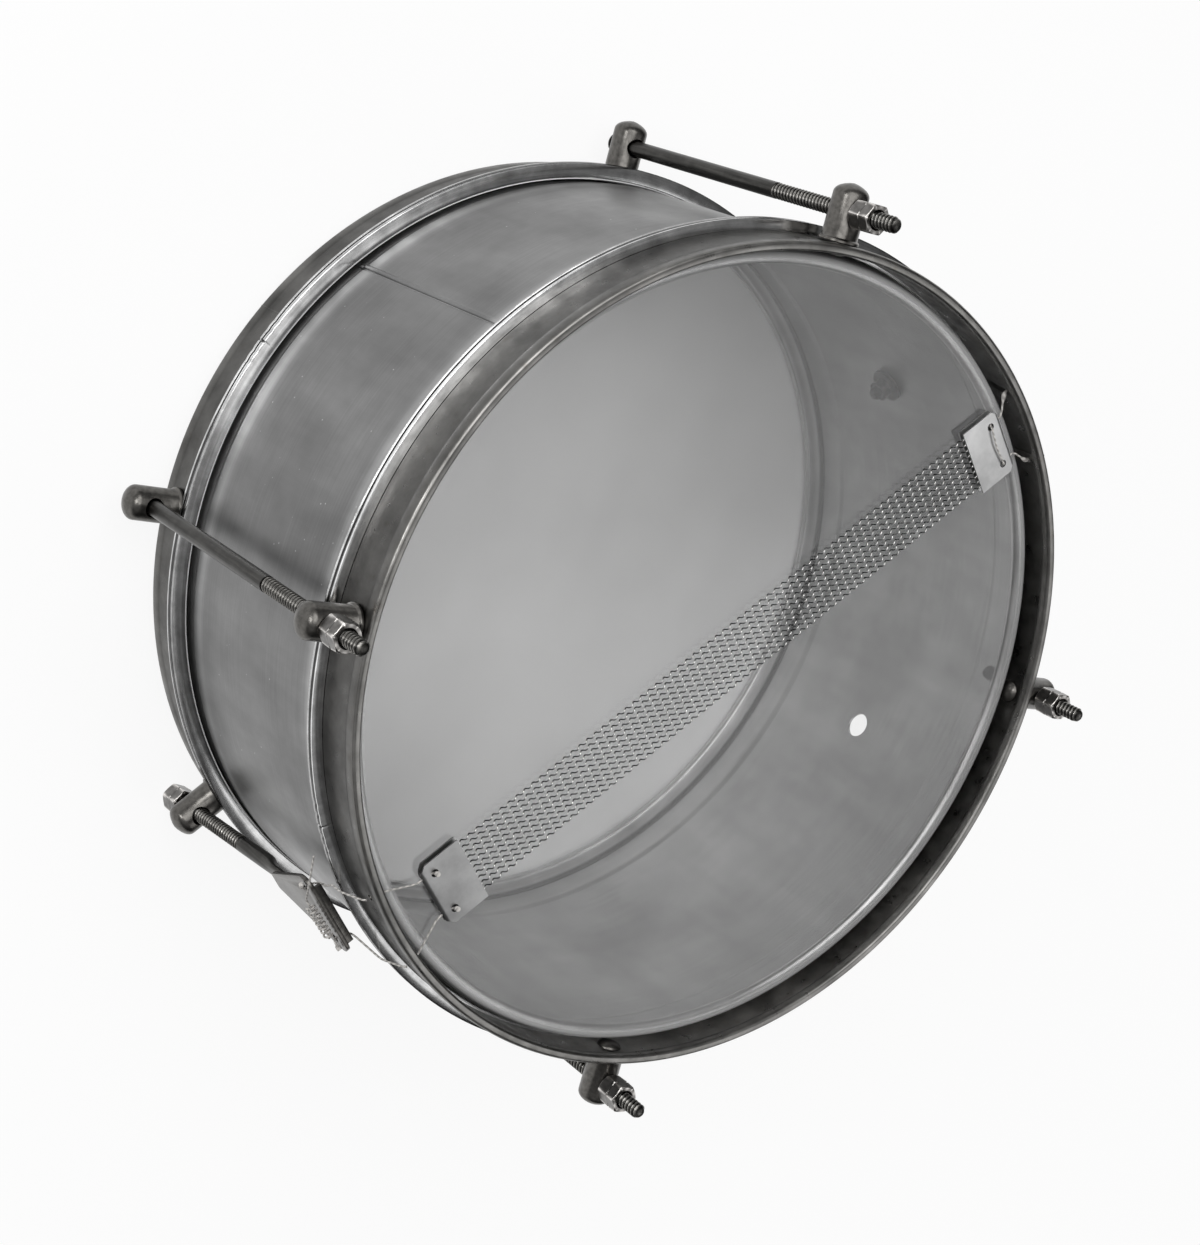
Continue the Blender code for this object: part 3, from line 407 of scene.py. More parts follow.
def clear_sheet(name, base):
    """Clear polyester film: mirror-like at a slant, veiled by dust and smears, with a whitish painted
    highlight along the crest.
    """
    made, tree, shader = new_material(name, base, 0.45, 0.0, IOR=1.5)
    mirror = add(tree, "ShaderNodeBsdfGlossy", Color=linear("#FFFFFF"), Roughness=0.04)
    through = add(tree, "ShaderNodeBsdfTransparent", Color=linear("#F7F7F7"))
    glance = add(tree, "ShaderNodeLayerWeight", Blend=0.5)
    steep = add(tree, "ShaderNodeMath", {"operation": "POWER"}, i0=glance.outputs["Facing"], i1=5.0)
    share = add(tree, "ShaderNodeMapRange", i0=steep.outputs[0], i3=0.035, i4=1.0)
    glass = add(tree, "ShaderNodeMixShader", Fac=share.outputs["Result"], i1=through.outputs[0],
                i2=mirror.outputs[0])
    smear = add(tree, "ShaderNodeTexNoise", Vector=place_mm(tree, (1.0, 0.35, 1.0)), Scale=1 / 45.0,
                Detail=5.0)
    veil = add(tree, "ShaderNodeMapRange", i0=smear.outputs["Fac"], i1=0.35, i2=0.75, i3=0.01, i4=0.035)
    # A painted highlight along the crest, as whitish film where its points say so
    drawn = add(tree, "ShaderNodeAttribute", {"attribute_name": "wear"})
    painted_crest_highlight = add(tree, "ShaderNodeMapRange", i0=drawn.outputs["Fac"], i1=0.5, i2=1.0, i3=0.0, i4=0.4)
    cover = add(tree, "ShaderNodeMath", {"operation": "ADD"}, i0=veil.outputs["Result"],
                i1=painted_crest_highlight.outputs["Result"])
    whole = add(tree, "ShaderNodeMixShader", Fac=cover.outputs[0], i1=glass.outputs[0], i2=shader.outputs[0])
    feed(tree, tree.nodes["Material Output"], Surface=whole.outputs[0])
    return made


def cord_fibre(name, base):
    """Twisted polyester cord: pale, matt, with its lay showing as slanting lines."""
    made, tree, shader = new_material(name, base, 0.8, 0.0)
    lay = add(tree, "ShaderNodeTexWave", {"wave_type": "BANDS", "bands_direction": "DIAGONAL"},
              Vector=place_mm(tree, uv=True), Scale=0.25, Distortion=0.6)
    ramp = add(tree, "ShaderNodeValToRGB", Fac=lay.outputs["Fac"])
    tone = ends_of(ramp, 0.0, 1.0, *tones(base, 0.55, 1.1))
    relief = add(tree, "ShaderNodeBump", Height=lay.outputs["Fac"], Strength=0.5, Distance=0.12 * MM)
    feed(tree, shader, Base_Color=tone, Normal=relief.outputs["Normal"])
    return made


# Each material's maker, where its colour stands in the panel, and its grain and roughness if it has them
MATERIALS = {
    "satin_aluminium_sheet": (satin_sheet, "drum_shell", "metal"),
    "blackened_bolt_steel": (worn_steel, "drum_shell", "bolt", 9.0, 0.4),
    "clear_polyester_film": (clear_sheet, "drum_heads", "clear"),
    "pale_polyester_film": (hazy_film, "drum_heads", "pale"),
    "oiled_rolled_steel": (stained_steel, "drum_hoops", "steel"),
    "drawn_aluminium": (drawn_aluminium, "drum_hoops", "aluminium"),
    "oiled_machined_steel": (worn_steel, "drum_fittings", "dark", 2.0, 0.3),
    "grey_rod_steel": (threaded_steel, "drum_fittings", "rod"),
    "turned_nut_steel": (worn_steel, "drum_fittings", "nut", 3.0, 0.28),
    "tinned_sheet": (worn_steel, "drum_snare", "plate", 30.0, 0.42),
    "dull_tinned_sheet": (worn_steel, "drum_snare", "dull_plate", 30.0, 0.42),
    "bright_spring_wire": (spring_wire, "drum_snare", "spring"),
    "twisted_white_cord": (cord_fibre, "drum_snare", "cord"),
}


def material(name):
    """A material made once and used by every piece that has it."""
    maker, group, tone, *more = MATERIALS[name]
    return bpy.data.materials.get(name) or maker(name, getattr(settings(group), tone), *more)


# Curves and outlines

def bell(distance, width):
    """1 at no distance, falling off to 0 over about twice this width."""
    return math.exp(-(distance / width) ** 2)


def from_angle(here, middle):
    """The signed turn from the middle angle, at most 180 degrees."""
    return (here - middle + 180.0) % 360.0 - 180.0


def arc(x, z, radius, start, end, steps):
    """Points of (radius, height) along part of a circle, in degrees from +r towards +z."""
    turns = [math.radians(start + (end - start) * i / steps) for i in range(steps + 1)]
    return [(x + radius * math.cos(a), z + radius * math.sin(a)) for a in turns]


def oval(x, y, wide, high, count):
    """Points round an ellipse with these half axes."""
    turns = [2 * math.pi * i / count for i in range(count)]
    return [(x + wide * math.cos(a), y + high * math.sin(a)) for a in turns]


def offset(path, distance):
    """Moves a path of (radius, height) pairs to its left, with mitred corners."""
    moved = []
    for i in range(len(path)):
        before, point, after = (Vector(path[j]) for j in (max(i - 1, 0), i, min(i + 1, len(path) - 1)))
        normals = [Vector((-a.y, a.x)).normalized() for a in (point - before, after - point) if a.length > 0]
        middle = sum(normals, Vector((0, 0))).normalized()
        moved.append(tuple(point + middle * (distance / middle.dot(normals[0]))))
    return moved


def smoothed(path):
    """Corners cut twice, so that the outline bends softly."""
    for _ in range(2):
        fresh = [path[0]]
        for a, b in zip(path, path[1:]):
            fresh += [tuple(Vector(a).lerp(Vector(b), t)) for t in (0.25, 0.75)]
        path = fresh + [path[-1]]
    return path


def rounded(corners, radii, steps=8):
    """A flat outline whose corners are rounded by arcs of these radii."""
    outline = []
    for i, corner in enumerate(corners):
        here = Vector(corner)
        back = (Vector(corners[i - 1]) - here).normalized()
        on = (Vector(corners[(i + 1) % len(corners)]) - here).normalized()
        half = math.acos(back.dot(on)) / 2
        middle = here + (back + on).normalized() * radii[i] / math.sin(half)
        first = here + back * radii[i] / math.tan(half) - middle
        side = 1 if back.x * on.y - back.y * on.x < 0 else -1
        for step in range(steps + 1):
            a = side * (math.pi - 2 * half) * step / steps
            outline.append((middle.x + first.x * math.cos(a) - first.y * math.sin(a),
                            middle.y + first.x * math.sin(a) + first.y * math.cos(a)))
    return outline


# Meshes

def bands(rows, columns, first=0, closed=False):
    """Faces between neighbouring rings of points, and from the last ring to the first if closed."""
    faces = []
    for i in range(rows if closed else rows - 1):
        a = first + i * columns
        b = first + (i + 1) % rows * columns
        faces += [(a + k, a + (k + 1) % columns, b + (k + 1) % columns, b + k) for k in range(columns)]
    return faces


def pointed(rows, columns):
    """Faces of rings of points between a first and a last point on their axis."""
    top = 1 + (rows - 1) * columns
    faces = [(0, 1 + (k + 1) % columns, 1 + k) for k in range(columns)] + bands(rows, columns, 1)
    return faces + [(top + k, top + (k + 1) % columns, top + columns) for k in range(columns)]


def flat_ended(rows, columns):
    """Faces of rings of points with a flat face at each end."""
    return bands(rows, columns) + [tuple(range(columns)), tuple(range((rows - 1) * columns, rows * columns))]


def mesh_object(name, verts, faces, surface, sharp=40.0, uvs=None, wear=None):
    """A smooth-shaded object from points in millimetres, normals outward; each point may carry a value of
    painted light and shade.
    """
    mesh = bpy.data.meshes.new(name)
    mesh.from_pydata([tuple(c * MM for c in v) for v in verts], [], faces)
    # Each point's value of painted light and shade, a half where nothing is painted
    mesh.attributes.new("wear", "FLOAT", "POINT").data.foreach_set("value", wear or [0.5] * len(verts))
    if uvs:
        layer = mesh.uv_layers.new(name="UVMap")
        for loop in mesh.loops:
            layer.data[loop.index].uv = uvs[loop.vertex_index]
    bm = bmesh.new()
    bm.from_mesh(mesh)
    bmesh.ops.remove_doubles(bm, verts=bm.verts, dist=1e-8)
    bmesh.ops.recalc_face_normals(bm, faces=bm.faces)
    bm.to_mesh(mesh)
    bm.free()
    mesh.shade_smooth()
    mesh.set_sharp_from_angle(angle=math.radians(sharp))
    return placed_object(name, mesh, surface)


def placed_object(name, mesh, surface):
    """A mesh with its material as an object in the scene."""
    mesh.materials.append(surface)
    made = bpy.data.objects.new(name, mesh)
    bpy.context.scene.collection.objects.link(made)
    return made


def turned(name, outline, surface, columns=288, extra=(), warp=None, sharp=40.0):
    """A closed ring with this outline; its UV is unrolled in metres, and warp may move each point."""
    even = [round(360 * i / columns, 4) for i in range(columns)]
    steps = sorted(set(even + [round(a % 360, 4) for a in extra]))
    run = [0.0]
    for here, ahead in zip(outline, outline[1:]):
        run.append(run[-1] + math.dist(here, ahead))
    verts = []
    uvs = []
    for step in steps:
        a = math.radians(step)
        for (r, z), along in zip(outline, run):
            if warp:
                r, z = warp(math.degrees(a), r, z)
            verts.append((r * math.cos(a), r * math.sin(a), z))
            uvs.append((a * outline[0][0] * MM, along * MM))
    count = len(outline)
    faces = []
    for i in range(len(steps)):
        a = i * count
        b = (i + 1) % len(steps) * count
        faces += [(a + k, b + k, b + (k + 1) % count, a + (k + 1) % count) for k in range(count)]
    return mesh_object(name, verts, faces, surface, sharp, uvs)


def spun(name, outline, surface, columns=48, place=None, sharp=40.0):
    """A solid of revolution about z whose outline starts and ends on the axis."""
    verts = [(0.0, 0.0, outline[0][1])]
    for r, z in outline[1:-1]:
        verts += [(x, y, z) for x, y in oval(0.0, 0.0, r, r, columns)]
    verts.append((0.0, 0.0, outline[-1][1]))
    if place:
        verts = [tuple(place @ Vector(v)) for v in verts]
    return mesh_object(name, verts, pointed(len(outline) - 2, columns), surface, sharp)


def drill(radius, low, high, surface, sides, place):
    """A round cutter between two heights."""
    return spun("cutter", [(0.0, low), (radius, low), (radius, high), (0.0, high)], surface, sides, place)


def prism(name, verts, surface, sharp=30.0):
    """A straight-sided solid from the points of one end and then of the other."""
    count = len(verts) // 2
    faces = [tuple(range(count)), tuple(range(count, 2 * count))] + bands(2, count)
    return mesh_object(name, verts, faces, surface, sharp)


def block(name, outline, low, high, place, surface):
    """A prism over a flat outline."""
    return prism(name, [tuple(place @ Vector((x, y, z))) for z in (low, high) for x, y in outline], surface)


def tube(name, points, radius, surface, sides=10, knots=()):
    """A round tube with UV along and round it; each knot is a swelling's centre, reach and radius."""
    verts = []
    uvs = []
    run = 0.0
    normal = None
    for i, point in enumerate(points):
        behind = points[max(i - 1, 0)]
        tangent = (points[min(i + 1, len(points) - 1)] - behind).normalized()
        if normal is None:
            normal = tangent.orthogonal().normalized()
        normal = (normal - tangent * normal.dot(tangent)).normalized()
        side = tangent.cross(normal)
        run += (point - behind).length
        swells = [(wide - radius) * max(0.0, 1 - ((run - centre) / reach) ** 2) ** 0.5
                  for centre, reach, wide in knots]
        here = radius + max(swells, default=0.0)
        for k in range(sides):
            a = 2 * math.pi * k / sides
            verts.append(tuple(point + (normal * math.cos(a) + side * math.sin(a)) * here))
            uvs.append((run * MM, a * radius * MM))
    return mesh_object(name, verts, flat_ended(len(points), sides), surface, 60.0, uvs)


def thread(z, part, radius, pitch):
    """Radius of a thread at a height and a part of the turn, and its level of painted light, from painted
    shade at the root to a painted highlight at the crest.
    """
    height = 1 - abs(2 * ((z / pitch - part) % 1.0) - 1)
    return radius - pitch * 0.54 * (1 - height), height


def threaded(name, low, high, plain_to, radius, pitch, surface, columns=20, rows_per_turn=6):
    """A rod along z: plain up to a height, then threaded to a chamfered end."""
    count = int((high - plain_to) / pitch * rows_per_turn)
    rows = [low, plain_to - 0.01] + [plain_to + (high - plain_to) * i / count for i in range(count + 1)]
    tip = radius - pitch * 0.54 * 1.1
    verts = [(0.0, 0.0, low)]
    wear = [0.5]
    for z in rows:
        for k in range(columns):
            a = 2 * math.pi * k / columns
            r, height = thread(z, k / columns, radius, pitch) if z >= plain_to else (radius, 0.5)
            r = min(r, tip + max(0.0, high - z))
            verts.append((r * math.cos(a), r * math.sin(a), z))
            # Painted shade in the thread's roots, a painted highlight on its crests
            wear.append(height)
    verts.append((0.0, 0.0, high))
    wear.append(0.5)
    return mesh_object(name, verts, pointed(len(rows), columns), surface, 65.0, None, wear)


def hexagon_nut(name, flats, height, bore, surface, place, columns=96):
    """A hexagon nut whose chamfer cones leave curved edges on its flats; a high one has a groove round it."""
    apothem = flats / 2
    rise = (apothem / math.cos(math.pi / 6) - apothem) * 0.62
    bevel = [rise * i / 5 for i in range(6)]
    groove = height * 0.56
    waist = [groove + 0.25 * i for i in range(-3, 4)] if height > 6 else []
    # Each point's third value is painted light: painted shade in the bore and the groove, painted highlights
    # along the corners and the chamfers' curved edges
    rings = [[(bore, 0.3, 0.3)] * columns, [(bore + 0.4, 0.0, 0.5)] * columns]
    for z in bevel + waist + [height - z for z in reversed(bevel)]:
        end = min(z, height - z, abs(z - groove) + 0.1 if waist else height)
        cone = apothem - 0.14 + end * 1.55
        ring = []
        for k in range(columns):
            a = (2 * math.pi * k / columns) % (math.pi / 3) - math.pi / 6
            hexed = apothem / math.cos(a)
            edge = max((abs(a) * 6 / math.pi) ** 12, bell(hexed - cone, 0.2))
            ring.append((min(hexed, cone), z, 0.1 if waist and abs(z - groove) < 0.1 else 0.45 + 0.5 * edge))
        rings.append(ring)
    rings += [[(bore + 0.4, height, 0.5)] * columns, [(bore, height - 0.3, 0.3)] * columns]
    verts = []
    for ring in rings:
        for k, (r, z, _) in enumerate(ring):
            a = 2 * math.pi * k / columns
            verts.append(tuple(place @ Vector((r * math.cos(a), r * math.sin(a), z))))
    wear = [painted_sheen for ring in rings for _, _, painted_sheen in ring]
    return mesh_object(name, verts, bands(len(rings), columns, closed=True), surface, 25.0, None, wear)


def paint_light(piece, rule=lambda angle, radius, height: 0.5):
    """Sets each point's value of painted light and shade, from 0 for painted shade to 1 for a painted
    highlight, by its angle, radius and height.
    """
    values = []
    for point in piece.data.vertices:
        x, y, z = point.co / MM
        values.append(rule(math.degrees(math.atan2(y, x)), math.hypot(x, y), z))
    layer = piece.data.attributes.get("wear") or piece.data.attributes.new("wear", "FLOAT", "POINT")
    layer.data.foreach_set("value", values)
    return piece


def joined(name, pieces):
    """Several objects as one plain mesh."""
    whole = bmesh.new()
    surface = pieces[0].data.materials[0]
    for piece in pieces:
        whole.from_mesh(piece.data)
        bpy.data.objects.remove(piece, do_unlink=True)
    mesh = bpy.data.meshes.new(name)
    whole.to_mesh(mesh)
    whole.free()
    return placed_object(name, mesh, surface)


def baked(piece):
    """The piece with its modifiers turned into a plain mesh."""
    graph = bpy.context.evaluated_depsgraph_get()
    mesh = bpy.data.meshes.new_from_object(piece.evaluated_get(graph))
    piece.modifiers.clear()
    piece.data = mesh
    return piece


def cut_by(piece, *cutters, operation="DIFFERENCE"):
    """Takes these solids out of the piece, or joins them to it."""
    for cutter in cutters:
        step = piece.modifiers.new(cutter.name, "BOOLEAN")
        step.operation = operation
        step.solver = "EXACT"
        step.object = cutter
    paint_light(baked(piece))
    piece.data.set_sharp_from_angle(angle=math.radians(40))
    for cutter in cutters:
        bpy.data.objects.remove(cutter, do_unlink=True)
    return piece


def seat(piece, body, nodes):
    """The piece rides on this body in place of these nodes."""
    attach(piece, body)
    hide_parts(*nodes)
    return piece


# Geometry Nodes

def new_tree(name, **inputs):
    """A geometry tree with these named inputs, and its input sockets."""
    tree = bpy.data.node_groups.new(name, "GeometryNodeTree")
    for key, kind in inputs.items():
        tree.interface.new_socket(key.replace("_", " "), in_out="INPUT", socket_type="NodeSocket" + kind)
    tree.interface.new_socket("Geometry", in_out="OUTPUT", socket_type="NodeSocketGeometry")
    return tree, tree.nodes.new("NodeGroupInput").outputs


def repeated(tree, points, piece, turn, surface):
    """Ends a tree: the piece on every point, made real and given its material."""
    placed = add(tree, "GeometryNodeInstanceOnPoints", Points=points, Instance=piece, Rotation=turn)
    real = add(tree, "GeometryNodeRealizeInstances", Geometry=placed.outputs["Instances"])
    dressed = add(tree, "GeometryNodeSetMaterial", Geometry=real.outputs["Geometry"], Material=surface)
    add(tree, "NodeGroupOutput", Geometry=dressed.outputs["Geometry"])


def round_tree():
    """Repeats a piece at even turns about the drum's axis."""
    tree, inputs = new_tree("Repeat round the drum", Piece="Object", Count="Int", Material="Material")
    info = add(tree, "GeometryNodeObjectInfo", {"transform_space": "ORIGINAL"}, Object=inputs["Piece"])
    line = add(tree, "GeometryNodeMeshLine", {"mode": "OFFSET"}, Count=inputs["Count"], Offset=(0, 0, 0))
    turn = add(tree, "ShaderNodeMath", {"operation": "DIVIDE"}, i0=2 * math.pi, i1=inputs["Count"])
    index = add(tree, "GeometryNodeInputIndex")
    swing = add(tree, "ShaderNodeMath", {"operation": "MULTIPLY"}, i0=turn.outputs[0], i1=index.outputs[0])
    spin = add(tree, "ShaderNodeCombineXYZ", Z=swing.outputs[0])
    repeated(tree, line.outputs["Mesh"], info.outputs["Geometry"], spin.outputs["Vector"], inputs["Material"])
    return tree


def strand_tree():
    """Coiled strands side by side: a spiral swept with a round wire and repeated along a line."""
    tree, inputs = new_tree("Coiled snare strands", Strands="Int", Coils="Float", Coil_radius="Float",
                            Wire_radius="Float", Length="Float", Spacing="Float", Seed="Int",
                            Material="Material")
    coil = add(tree, "GeometryNodeCurveSpiral", Resolution=9, Rotations=inputs["Coils"],
               Start_Radius=inputs["Coil radius"], End_Radius=inputs["Coil radius"], Height=inputs["Length"])
    wire = add(tree, "GeometryNodeCurvePrimitiveCircle", Resolution=5, Radius=inputs["Wire radius"])
    swept = add(tree, "GeometryNodeCurveToMesh", Curve=coil.outputs["Curve"],
                Profile_Curve=wire.outputs["Curve"], Fill_Caps=True)
    smooth = add(tree, "GeometryNodeSetShadeSmooth", Geometry=swept.outputs["Mesh"])
    apart = add(tree, "ShaderNodeCombineXYZ", Y=inputs["Spacing"])
    line = add(tree, "GeometryNodeMeshLine", {"mode": "OFFSET"}, Count=inputs["Strands"],
               Offset=apart.outputs["Vector"])
    turn = add(tree, "FunctionNodeRandomValue", {"data_type": "FLOAT"}, i2=0.0, i3=0.5, Seed=inputs["Seed"])
    spin = add(tree, "ShaderNodeCombineXYZ", Z=turn.outputs[1])
    repeated(tree, line.outputs["Mesh"], smooth.outputs["Geometry"], spin.outputs["Vector"],
             inputs["Material"])
    return tree


def grown(name, tree, **values):
    """The plain mesh that a node tree makes with these inputs."""
    made = bpy.data.objects.new(name, bpy.data.meshes.new(name))
    bpy.context.scene.collection.objects.link(made)
    step = made.modifiers.new("Repeat", "NODES")
    step.node_group = tree
    sockets = {s.name: s.identifier for s in tree.interface.items_tree if s.in_out == "INPUT"}
    for key, value in values.items():
        step[sockets[key.replace("_", " ")]] = value
    return baked(made)


def round_the_drum(name, piece):
    """Four copies of a piece at right angles."""
    tree = bpy.data.node_groups.get("Repeat round the drum") or round_tree()
    made = grown(name, tree, Piece=piece, Count=len(LUG_NAMES), Material=piece.data.materials[0])
    bpy.data.objects.remove(piece, do_unlink=True)
    return made


# Places

def unit(turn):
    """The level direction at this angle."""
    a = math.radians(turn)
    return Vector((math.cos(a), math.sin(a), 0.0))


def axes(x_axis, z_axis, origin):
    """A frame with this z and with its x as near as it can be to this one."""
    z = z_axis.normalized()
    x = (x_axis - z * x_axis.dot(z)).normalized()
    return Matrix.Translation(origin) @ Matrix((x, z.cross(x), z)).transposed().to_4x4()


def side_frame(turn, radius, height):
    """Origin on the drum's side, z straight out, y up."""
    out = unit(turn)
    return axes(UP.cross(out), out, out * radius + UP * height)


def below_rim(depth, upper):
    """The height at this depth from the upper or the lower rim."""
    return UPPER_RIM - depth if upper else LOWER_RIM + depth


def end_radius():
    """Outer radius of the shell's drawn-in ends."""
    return settings("drum_shell").radius - settings("drum_shell").step


def crest_radius():
    """Radius of a bearing edge's crest."""
    return end_radius() - CREST_INSET


def at_end(path, upper):
    """Heights over a crest turned into heights in the drum."""
    side = 1 if upper else -1
    return [(r, below_rim(CREST, upper) + side * h) for r, h in path]


def bearing_edge():
    """The shell's outer face from its drawn-in end to the crest, as (radius, height over the crest)."""
    shoulder = (crest_radius() + CREST_INSET * 0.35, -CREST_HEIGHT * 0.12)
    return [(end_radius(), -CREST_HEIGHT), shoulder, (crest_radius(), 0.0)]


def rod_circle():
    """Distance from the drum's axis to a rod's."""
    return settings("drum_hoops").radius + ROD_REACH


def lug_seat():
    """Distance from the axis to the foot of a lug's collar."""
    return (settings("drum_hoops").radius + BEAD_OUT) * FACET + GAP


def strainer_frame():
    """Origin where the strainer's rod crosses its lug, z along the rod, y towards the shell."""
    out = unit(STRAINER_ANGLE)
    side = UP.cross(out)
    along = UP - side * math.tan(LEAN_SIDE) - out * math.tan(LEAN_IN)
    across = side + out * math.tan(LEAN_IN)
    return axes(across, along, out * rod_circle() + UP * below_rim(LUG_DEPTH, False))


def yoke_frame():
    """Origin at the middle of the yoke's fold; x along it, y towards the upper hoop, z out."""
    place = strainer_frame()
    across, inward, along = (place.col[i].to_3d() for i in range(3))
    return axes(across, -inward, place.translation + along * YOKE_RISE - inward * YOKE_OUT)


def snare_frame():
    """Origin on the film at the drum's axis, x along the strands to the far plate, z up."""
    return axes(unit(settings("drum_snare").angle), UP, UP * FILM_TOP)


# Camera and stage

class DRUM_OT_camera(bpy.types.Operator):
    """Camera that looks down on the upper head from the strainer's side"""
    bl_idname = "drum.camera"
    bl_label = "Camera"

    def execute(self, context):
        lens = bpy.data.cameras.new("camera")
        lens.lens = settings("drum_stage").lens
        lens.sensor_width = 36.0
        lens.clip_start = 0.05
        eye = bpy.data.objects.new("camera", lens)
        turn = Matrix([Vector(v) for v in CAMERA_AXES]).transposed().to_4x4()
        eye.matrix_world = Matrix.Translation(Vector(CAMERA_PLACE) * MM) @ turn
        context.scene.collection.objects.link(eye)
        context.scene.camera = eye
        return {"FINISHED"}


class DRUM_OT_stage(bpy.types.Operator):
    """White floor and world, with large soft lamps"""
    bl_idname = "drum.stage"
    bl_label = "Stage"

    def execute(self, context):
        mesh = bpy.data.meshes.new("floor")
        bm = bmesh.new()
        bmesh.ops.create_grid(bm, x_segments=1, y_segments=1, size=30.0)
        bm.to_mesh(mesh)
        bm.free()
        floor = placed_object("floor", mesh, self.paper())
        context.scene.world = self.sky()
        for name, wide, place in LAMPS:
            self.lamp(name, wide, Vector(place))
        context.scene.view_settings.view_transform = "Standard"
        return {"FINISHED"}

    def paper(self):
        """Matt white paper: it looks evenly white, but lights the drum only as paper would."""
        made, tree, shader = new_material("matt_white_paper", linear("#FFFFFF"), 0.9, 0.0)
        rays = add(tree, "ShaderNodeLightPath").outputs
        glow = add(tree, "ShaderNodeEmission", Color=(1, 1, 1, 1), Strength=1.0)
        sight = add(tree, "ShaderNodeMath", {"operation": "MAXIMUM"}, i0=rays["Is Camera Ray"],
                    i1=rays["Is Glossy Ray"])
        sight = add(tree, "ShaderNodeMath", {"operation": "MAXIMUM"}, i0=sight.outputs[0],
                    i1=rays["Is Transmission Ray"])
        share = add(tree, "ShaderNodeMath", {"operation": "MULTIPLY"}, i0=sight.outputs[0], i1=0.88)
        seen = add(tree, "ShaderNodeMixShader", Fac=share.outputs[0], i1=shader.outputs[0],
                   i2=glow.outputs[0])
        feed(tree, tree.nodes["Material Output"], Surface=seen.outputs[0])
        return made

    def sky(self):
        """A world that is bright on the side of the key lamp and dark behind."""
        world = bpy.data.worlds.new("world")
        world.use_nodes = True
        tree = world.node_tree
        ray = add(tree, "ShaderNodeTexCoord").outputs["Generated"]
        slope = add(tree, "ShaderNodeVectorMath", {"operation": "DOT_PRODUCT"}, i0=ray,
                    i1=(-0.55, 0.35, 0.76))
        ramp = add(tree, "ShaderNodeValToRGB", Fac=slope.outputs["Value"])
        tone = ends_of(ramp, 0.05, 0.9, linear("#505050"), linear("#E4E4E4"))
        feed(tree, tree.nodes["Background"], Color=tone, Strength=0.6)
        return world

    def lamp(self, name, wide, place):
        """A round soft lamp that looks at the drum."""
        light = bpy.data.lights.new(name, "AREA")
        light.energy = getattr(settings("drum_stage"), name)
        light.shape = "DISK"
        light.size = wide
        made = bpy.data.objects.new(name, light)
        aim = (place - Vector(LAMP_TARGET)).to_track_quat("Z", "Y").to_matrix().to_4x4()
        made.matrix_world = Matrix.Translation(place) @ aim
        bpy.context.scene.collection.objects.link(made)


# Shell and heads

class DRUM_OT_shell(bpy.types.Operator):
    """Sheet shell with drawn-in ends, rolled bearing edges, vent hole and the kinks of its seam"""
    bl_idname = "drum.shell"
    bl_label = "Shell"

    def execute(self, context):
        group = settings("drum_shell")
        crest = crest_radius()
        narrow = end_radius()
        step = [(group.radius, z) for z in (-60.0, -30.0, -25.0, -21.4, -19.9)]
        step += [(narrow, z) for z in (-18.1, -16.6, -12.0)]
        groove = [(narrow, z) for z in (-9.6, -8.5, -7.4)]
        lip = [(crest - 1.2, -0.2), (crest - 2.4, -0.9), (crest - 3.1, -2.2), (crest - 2.6, -3.4)]
        outer = smoothed(step) + groove + smoothed(bearing_edge() + lip)
        inner = offset(outer, group.wall)
        upper = at_end(outer, True) + at_end(inner[::-1], True)
        lower = at_end(inner, False) + at_end(outer[::-1], False)

        def warp(turn, r, z):
            """The seam's lap, its kink at each step, and a dent."""
            off = from_angle(turn, group.seam_angle)
            end = min(abs(z - below_rim(CREST + SHELL_STEP, upper)) for upper in (True, False))
            kink = 0.25 * bell(off, 5.0) * bell(end, 5.0)
            dent = 0.22 * bell(turn - DENT[0], 5.0) * bell(z - DENT[1], 9.0)
            lap = 0.5 * bell(off + 0.3, 0.28) * (off < 0) - 0.6 * bell(off - 0.14, 0.12)
            return r - kink - dent + lap * (1.0 if abs(z - MIDDLE) < 52.0 else 0.4), z

        fine = [group.seam_angle + 0.05 * i for i in range(-24, 16)]
        surface = material("satin_aluminium_sheet")
        shell = turned("shell_sheet", upper + lower, surface, 360, fine, warp, 50.0)
        cutters = []
        radii = (group.vent_radius, BOLT_BORE)
        for turn, above, radius, sides in zip(HOLE_ANGLES, HOLE_HEIGHTS, radii, (48, 32)):
            cutters.append(drill(radius, *HOLE_REACH, surface, sides, side_frame(turn, 0.0, MIDDLE + above)))
        cut_by(shell, *cutters)

        def wear(turn, r, z):
            """Painted light on the sheet: outside, a painted highlight band past the step and painted shade
            on the drawn-in ends; a painted highlight on the lip with painted shade beside it; inside, broad
            painted highlights and one painted shade.
            """
            height = z - below_rim(CREST, False)
            end = min(below_rim(CREST, True) - z, height)
            past_step = end - SHELL_STEP
            face = (group.radius if past_step > 0.0 else narrow) - group.wall / 2
            # Outside: painted shade on the drawn-in ends and a painted highlight just past the step
            if r > face:
                return (0.5 if past_step > -2.0 else 0.4) + 0.2 * bell(past_step - 5.5, 3.0)
            # A painted highlight on the rolled lip, and painted shade on the strip beside it
            if end < 7.9:
                return 0.95 if end < 5.7 else 0.08
            # Inside: the wall painted lighter overall, with painted highlights low near -46 degrees and near
            # 0 degrees and painted shade near 68 degrees
            low = 0.24 * max(0.0, 1.0 - height / 85.0) * bell(from_angle(turn, -46.0), 17.0)
            bright = 0.1 * bell(from_angle(turn, 0.0), 24.0)
            return 0.7 + low + bright - 0.15 * bell(from_angle(turn, 68.0), 24.0)

        seat(paint_light(shell, wear), "drum", ["shell"])
        return {"FINISHED"}


